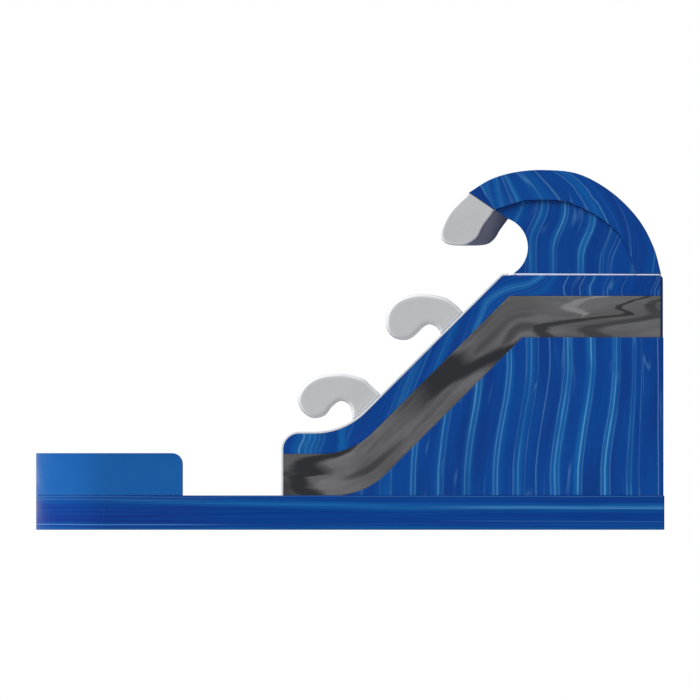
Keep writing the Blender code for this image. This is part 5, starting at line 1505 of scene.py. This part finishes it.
def make_flap():
    """The zip's cover: a folded strip that stands off the slider, and sags a little between its edges."""
    start = ZIP_X + ZIP_MARGIN + SLIDER_LENGTH + FLAP_MARGIN
    end = ZIP_X + ZIP_LENGTH + FLAP_MARGIN
    path = rounded([(0, 0, 0), (FLAP_STAND, -FLAP_STAND, FLAP_BEND),
                    (FLAP_STAND, FLAP_STAND - FLAP_HEIGHT, FLAP_BEND), (0, -FLAP_HEIGHT, 0)])
    path = evenly(path, 28)
    ahead = directions(path)
    last = len(path) - 1
    y0, z0 = SIDE_Y + SEAT + FLAP_THICK / 2 + SEAT, ZIP_Z + FLAP_HEIGHT / 2
    count = 60
    rows = []
    for k in range(count + 1):
        x = start + (end - start) * k / count
        sag = [(FLAP_SAG * math.sin(x * 9 + 2 * z / FLAP_HEIGHT) * math.sin(math.pi * i / last) - FLAP_SAG)
               * (0 < i < last) for i, (_, z) in enumerate(path)]
        front, back = ([(x, y0 + y - way * FLAP_SKIN / 2 * t[1] + s, z0 + z + way * FLAP_SKIN / 2 * t[0])
                        for (y, z), t, s in zip(path, ahead, sag)] for way in (1, -1))
        rows.append(front + back[::-1])
    size = len(rows[0])
    faces = hoops(count + 1, size) + strips(0, size) + strips(count * size, size)
    points = np.array(rows).reshape(-1, 3)
    gap = np.minimum(points[:, 0] - start, end - points[:, 0]).clip(0)
    found = points, faces, np.column_stack([points[:, 2], gap])
    add_piece("zip_flap", found, POOL, body="flap")


def make_anchors():
    face = SIDE_Y + SEAT
    back = face + PATCH_THICK + SEAT + LOOP_THICK / 2
    reach = RING_WIRE + LOOP_CLEARANCE + LOOP_THICK / 2
    front = back + LOOP_THICK + LOOP_CLEARANCE
    line = [(back, ANCHOR_Z + LOOP_TAIL)] + arc((back + reach, ANCHOR_Z), reach, math.pi, math.pi)
    line += [(front, ANCHOR_Z + LOOP_PINCH), (front, ANCHOR_Z + LOOP_TAIL)]
    for i in range(ANCHOR_COUNT):
        x = ANCHOR_X + i * ANCHOR_PITCH
        outline = soft_box(x - PATCH_WIDTH / 2, x + PATCH_WIDTH / 2, ANCHOR_Z - PATCH_HEIGHT / 2,
                           ANCHOR_Z + PATCH_HEIGHT / 2, PATCH_CORNER)
        found = side_view(puffed(outline, face, face + PATCH_THICK, PATCH_ROUND, 0.0))
        add_piece(f"anchor_patch_{i + 1}", found, POOL)
        add_strap(f"anchor_loop_{i + 1}", frames([(x, y, z) for y, z in line], (1, 0, 0)), LOOP_WIDTH, LOOP_THICK)


def make_saddles():
    """The two straps that hold the spray pipe under one facet of the roof."""
    inner = coarse_inner()
    facets = [(Vector(p), Vector(q)) for p, q in zip(inner, inner[1:])]
    p, q = min(facets, key=lambda facet: abs((facet[0].x + facet[1].x) / 2 - PIPE_X))
    along = (q - p).normalized()
    normal = Vector((-along.y, along.x))
    normal = normal if normal.y < 0 else -normal
    drop = PIPE_DROP + PIPE_RADIUS
    middle = (p + q) / 2 + normal * drop
    start = SLIDE_Y[0] + PIPE_INSET
    length = INNER_Y - VALVE_INSET - VALVE_LENGTH - start - SEAT
    reach = PIPE_RADIUS + SEAT + SADDLE_THICK / 2
    foot = drop - SEAT - SADDLE_THICK / 2
    line = [(-reach - SADDLE_FOOT, -foot), (-reach, -foot)] + arc((0, 0), reach, math.pi, -math.pi)
    line = [(u, -v) for u, v in line] + [(reach, foot), (reach + SADDLE_FOOT, foot)]
    a, b = np.array((along.x, 0, along.y)), np.array((-normal.x, 0, -normal.y))
    for i, y in enumerate((start + SADDLE_INSET, start + length - SADDLE_INSET)):
        centre = np.array((middle.x, y, middle.y))
        path = frames([centre + a * u + b * v for u, v in line], (0, 1, 0))
        add_strap(f"pipe_saddle_{i + 1}", path, SADDLE_WIDTH, SADDLE_THICK)


def make_handles():
    top = (PLATFORM_HEIGHT - BASE_HEIGHT) / math.sin(SLOPE) - HANDLE_DROP
    up = (math.sin(SLOPE), 0, -math.cos(SLOPE))
    loop = [(HANDLE_RADIUS * math.cos(a), HANDLE_FLAT * HANDLE_RADIUS * math.sin(a))
            for a in np.linspace(0, 2 * math.pi, 21)[:-1]]
    for name, face, side in (("wall", CLIMB_Y[0], 1), ("divider", CLIMB_Y[1], -1)):
        near, out = face + side * SEAT, face + side * HANDLE_STAND
        shape = rounded([(0, near, 0), (0, out, HANDLE_CORNER), (HANDLE_LENGTH, out, HANDLE_CORNER),
                         (HANDLE_LENGTH, near, 0)])
        line = []
        for distance, y in evenly(shape, 60):
            u, v = slope_point(top - distance, HANDLE_RISE)
            line.append((u, y, v))
        add_piece(f"{name}_handle", tube(frames(line, up), loop), STRAP)


def dress_hardware():
    """The CAD nodes that stay get their materials."""
    finishes = {"zip_slider": BRASS, "zip_pull": BRASS, "spray_pipe": PIPE, "valve_body": BRASS,
                "valve_lever": LEVER, "hose_coupling": PIPE}
    finishes.update({f"anchor_ring_{i + 1}": STEEL for i in range(ANCHOR_COUNT)})
    for name, material in finishes.items():
        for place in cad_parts[name].material_slots:
            place.link = "OBJECT"
            place.material = material


# ---- floor, light and camera

FLOOR_HALF = 60
FLOOR_DROP = 0.0005
FLOOR_GREY = (0.45, 0.45, 0.45, 1)
FLOOR_PALE = (0.8, 0.8, 0.8, 1)
FLOOR_GLOW = 0.35
SKY_COLOUR = (0.97, 0.985, 1, 1)
SKY_LEVEL = 0.36
LAMPS = (("key", (-0.61, -0.42, 0.67), 3.45, 30), ("fill", (0.25, 0.95, 0.2), 0.5, 40))
VIEW_SIZE = 11.667
VIEW_CENTRE = (-0.004, 2.997)
VIEW_DISTANCE = 40


def make_stage():
    half = FLOOR_HALF
    mesh = bpy.data.meshes.new("floor")
    mesh.from_pydata([(-half, -half, 0), (half, -half, 0), (half, half, 0), (-half, half, 0)], [], [(0, 1, 2, 3)])
    floor = bpy.data.objects.new("floor", mesh)
    floor.location.z = -FLOOR_DROP
    bpy.context.scene.collection.objects.link(floor)
    material = bpy.data.materials.new("pale floor")
    material.use_nodes = True
    graph = Graph(material.node_tree)
    graph.tree.nodes.clear()
    plain = graph.node("ShaderNodeBsdfDiffuse", {0: FLOOR_GREY})
    bright = graph.node("ShaderNodeBsdfDiffuse", {0: FLOOR_PALE})
    glow = graph.node("ShaderNodeEmission", {1: FLOOR_GLOW})
    both = graph.node("ShaderNodeAddShader", {0: bright.outputs[0], 1: glow.outputs[0]})
    graph.seen("ShaderNodeOutputMaterial", plain, both)
    mesh.materials.append(material)


def make_light():
    world = bpy.data.worlds.new("studio")
    bpy.context.scene.world = world
    world.use_nodes = True
    graph = Graph(world.node_tree)
    graph.tree.nodes.clear()
    sky = graph.node("ShaderNodeBackground", {0: SKY_COLOUR, 1: SKY_LEVEL})
    white = graph.node("ShaderNodeBackground", {0: (1, 1, 1, 1)})
    graph.seen("ShaderNodeOutputWorld", sky, white)
    for name, toward, strength, spread in LAMPS:
        lamp = bpy.data.lights.new(name, "SUN")
        lamp.energy = strength
        lamp.angle = math.radians(spread)
        thing = bpy.data.objects.new(name, lamp)
        thing.rotation_mode = "QUATERNION"
        thing.rotation_quaternion = Vector(toward).to_track_quat("Z", "Y")
        bpy.context.scene.collection.objects.link(thing)


def make_camera():
    """Square to the side, with no perspective, as in the photograph."""
    data = bpy.data.cameras.new("camera")
    data.type = "ORTHO"
    data.ortho_scale = VIEW_SIZE
    data.clip_end = 200
    camera = bpy.data.objects.new("camera", data)
    camera.location = (VIEW_CENTRE[0], -VIEW_DISTANCE, VIEW_CENTRE[1])
    camera.rotation_euler = (math.pi / 2, 0, 0)
    bpy.context.scene.collection.objects.link(camera)
    bpy.context.scene.camera = camera


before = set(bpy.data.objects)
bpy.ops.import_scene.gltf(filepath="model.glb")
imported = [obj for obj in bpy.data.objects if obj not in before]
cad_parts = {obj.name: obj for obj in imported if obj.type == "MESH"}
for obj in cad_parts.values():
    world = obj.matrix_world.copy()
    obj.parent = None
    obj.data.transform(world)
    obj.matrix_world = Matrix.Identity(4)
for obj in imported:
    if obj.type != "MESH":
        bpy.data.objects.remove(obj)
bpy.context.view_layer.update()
for make in (make_camera, make_base, make_pool, make_bodies, make_walls, make_mats, make_canopy, make_curls,
             make_inlet, make_zip, make_flap, make_anchors, make_saddles, make_handles, dress_hardware,
             make_stage, make_light):
    make()
bpy.context.scene.view_settings.view_transform = "Standard"
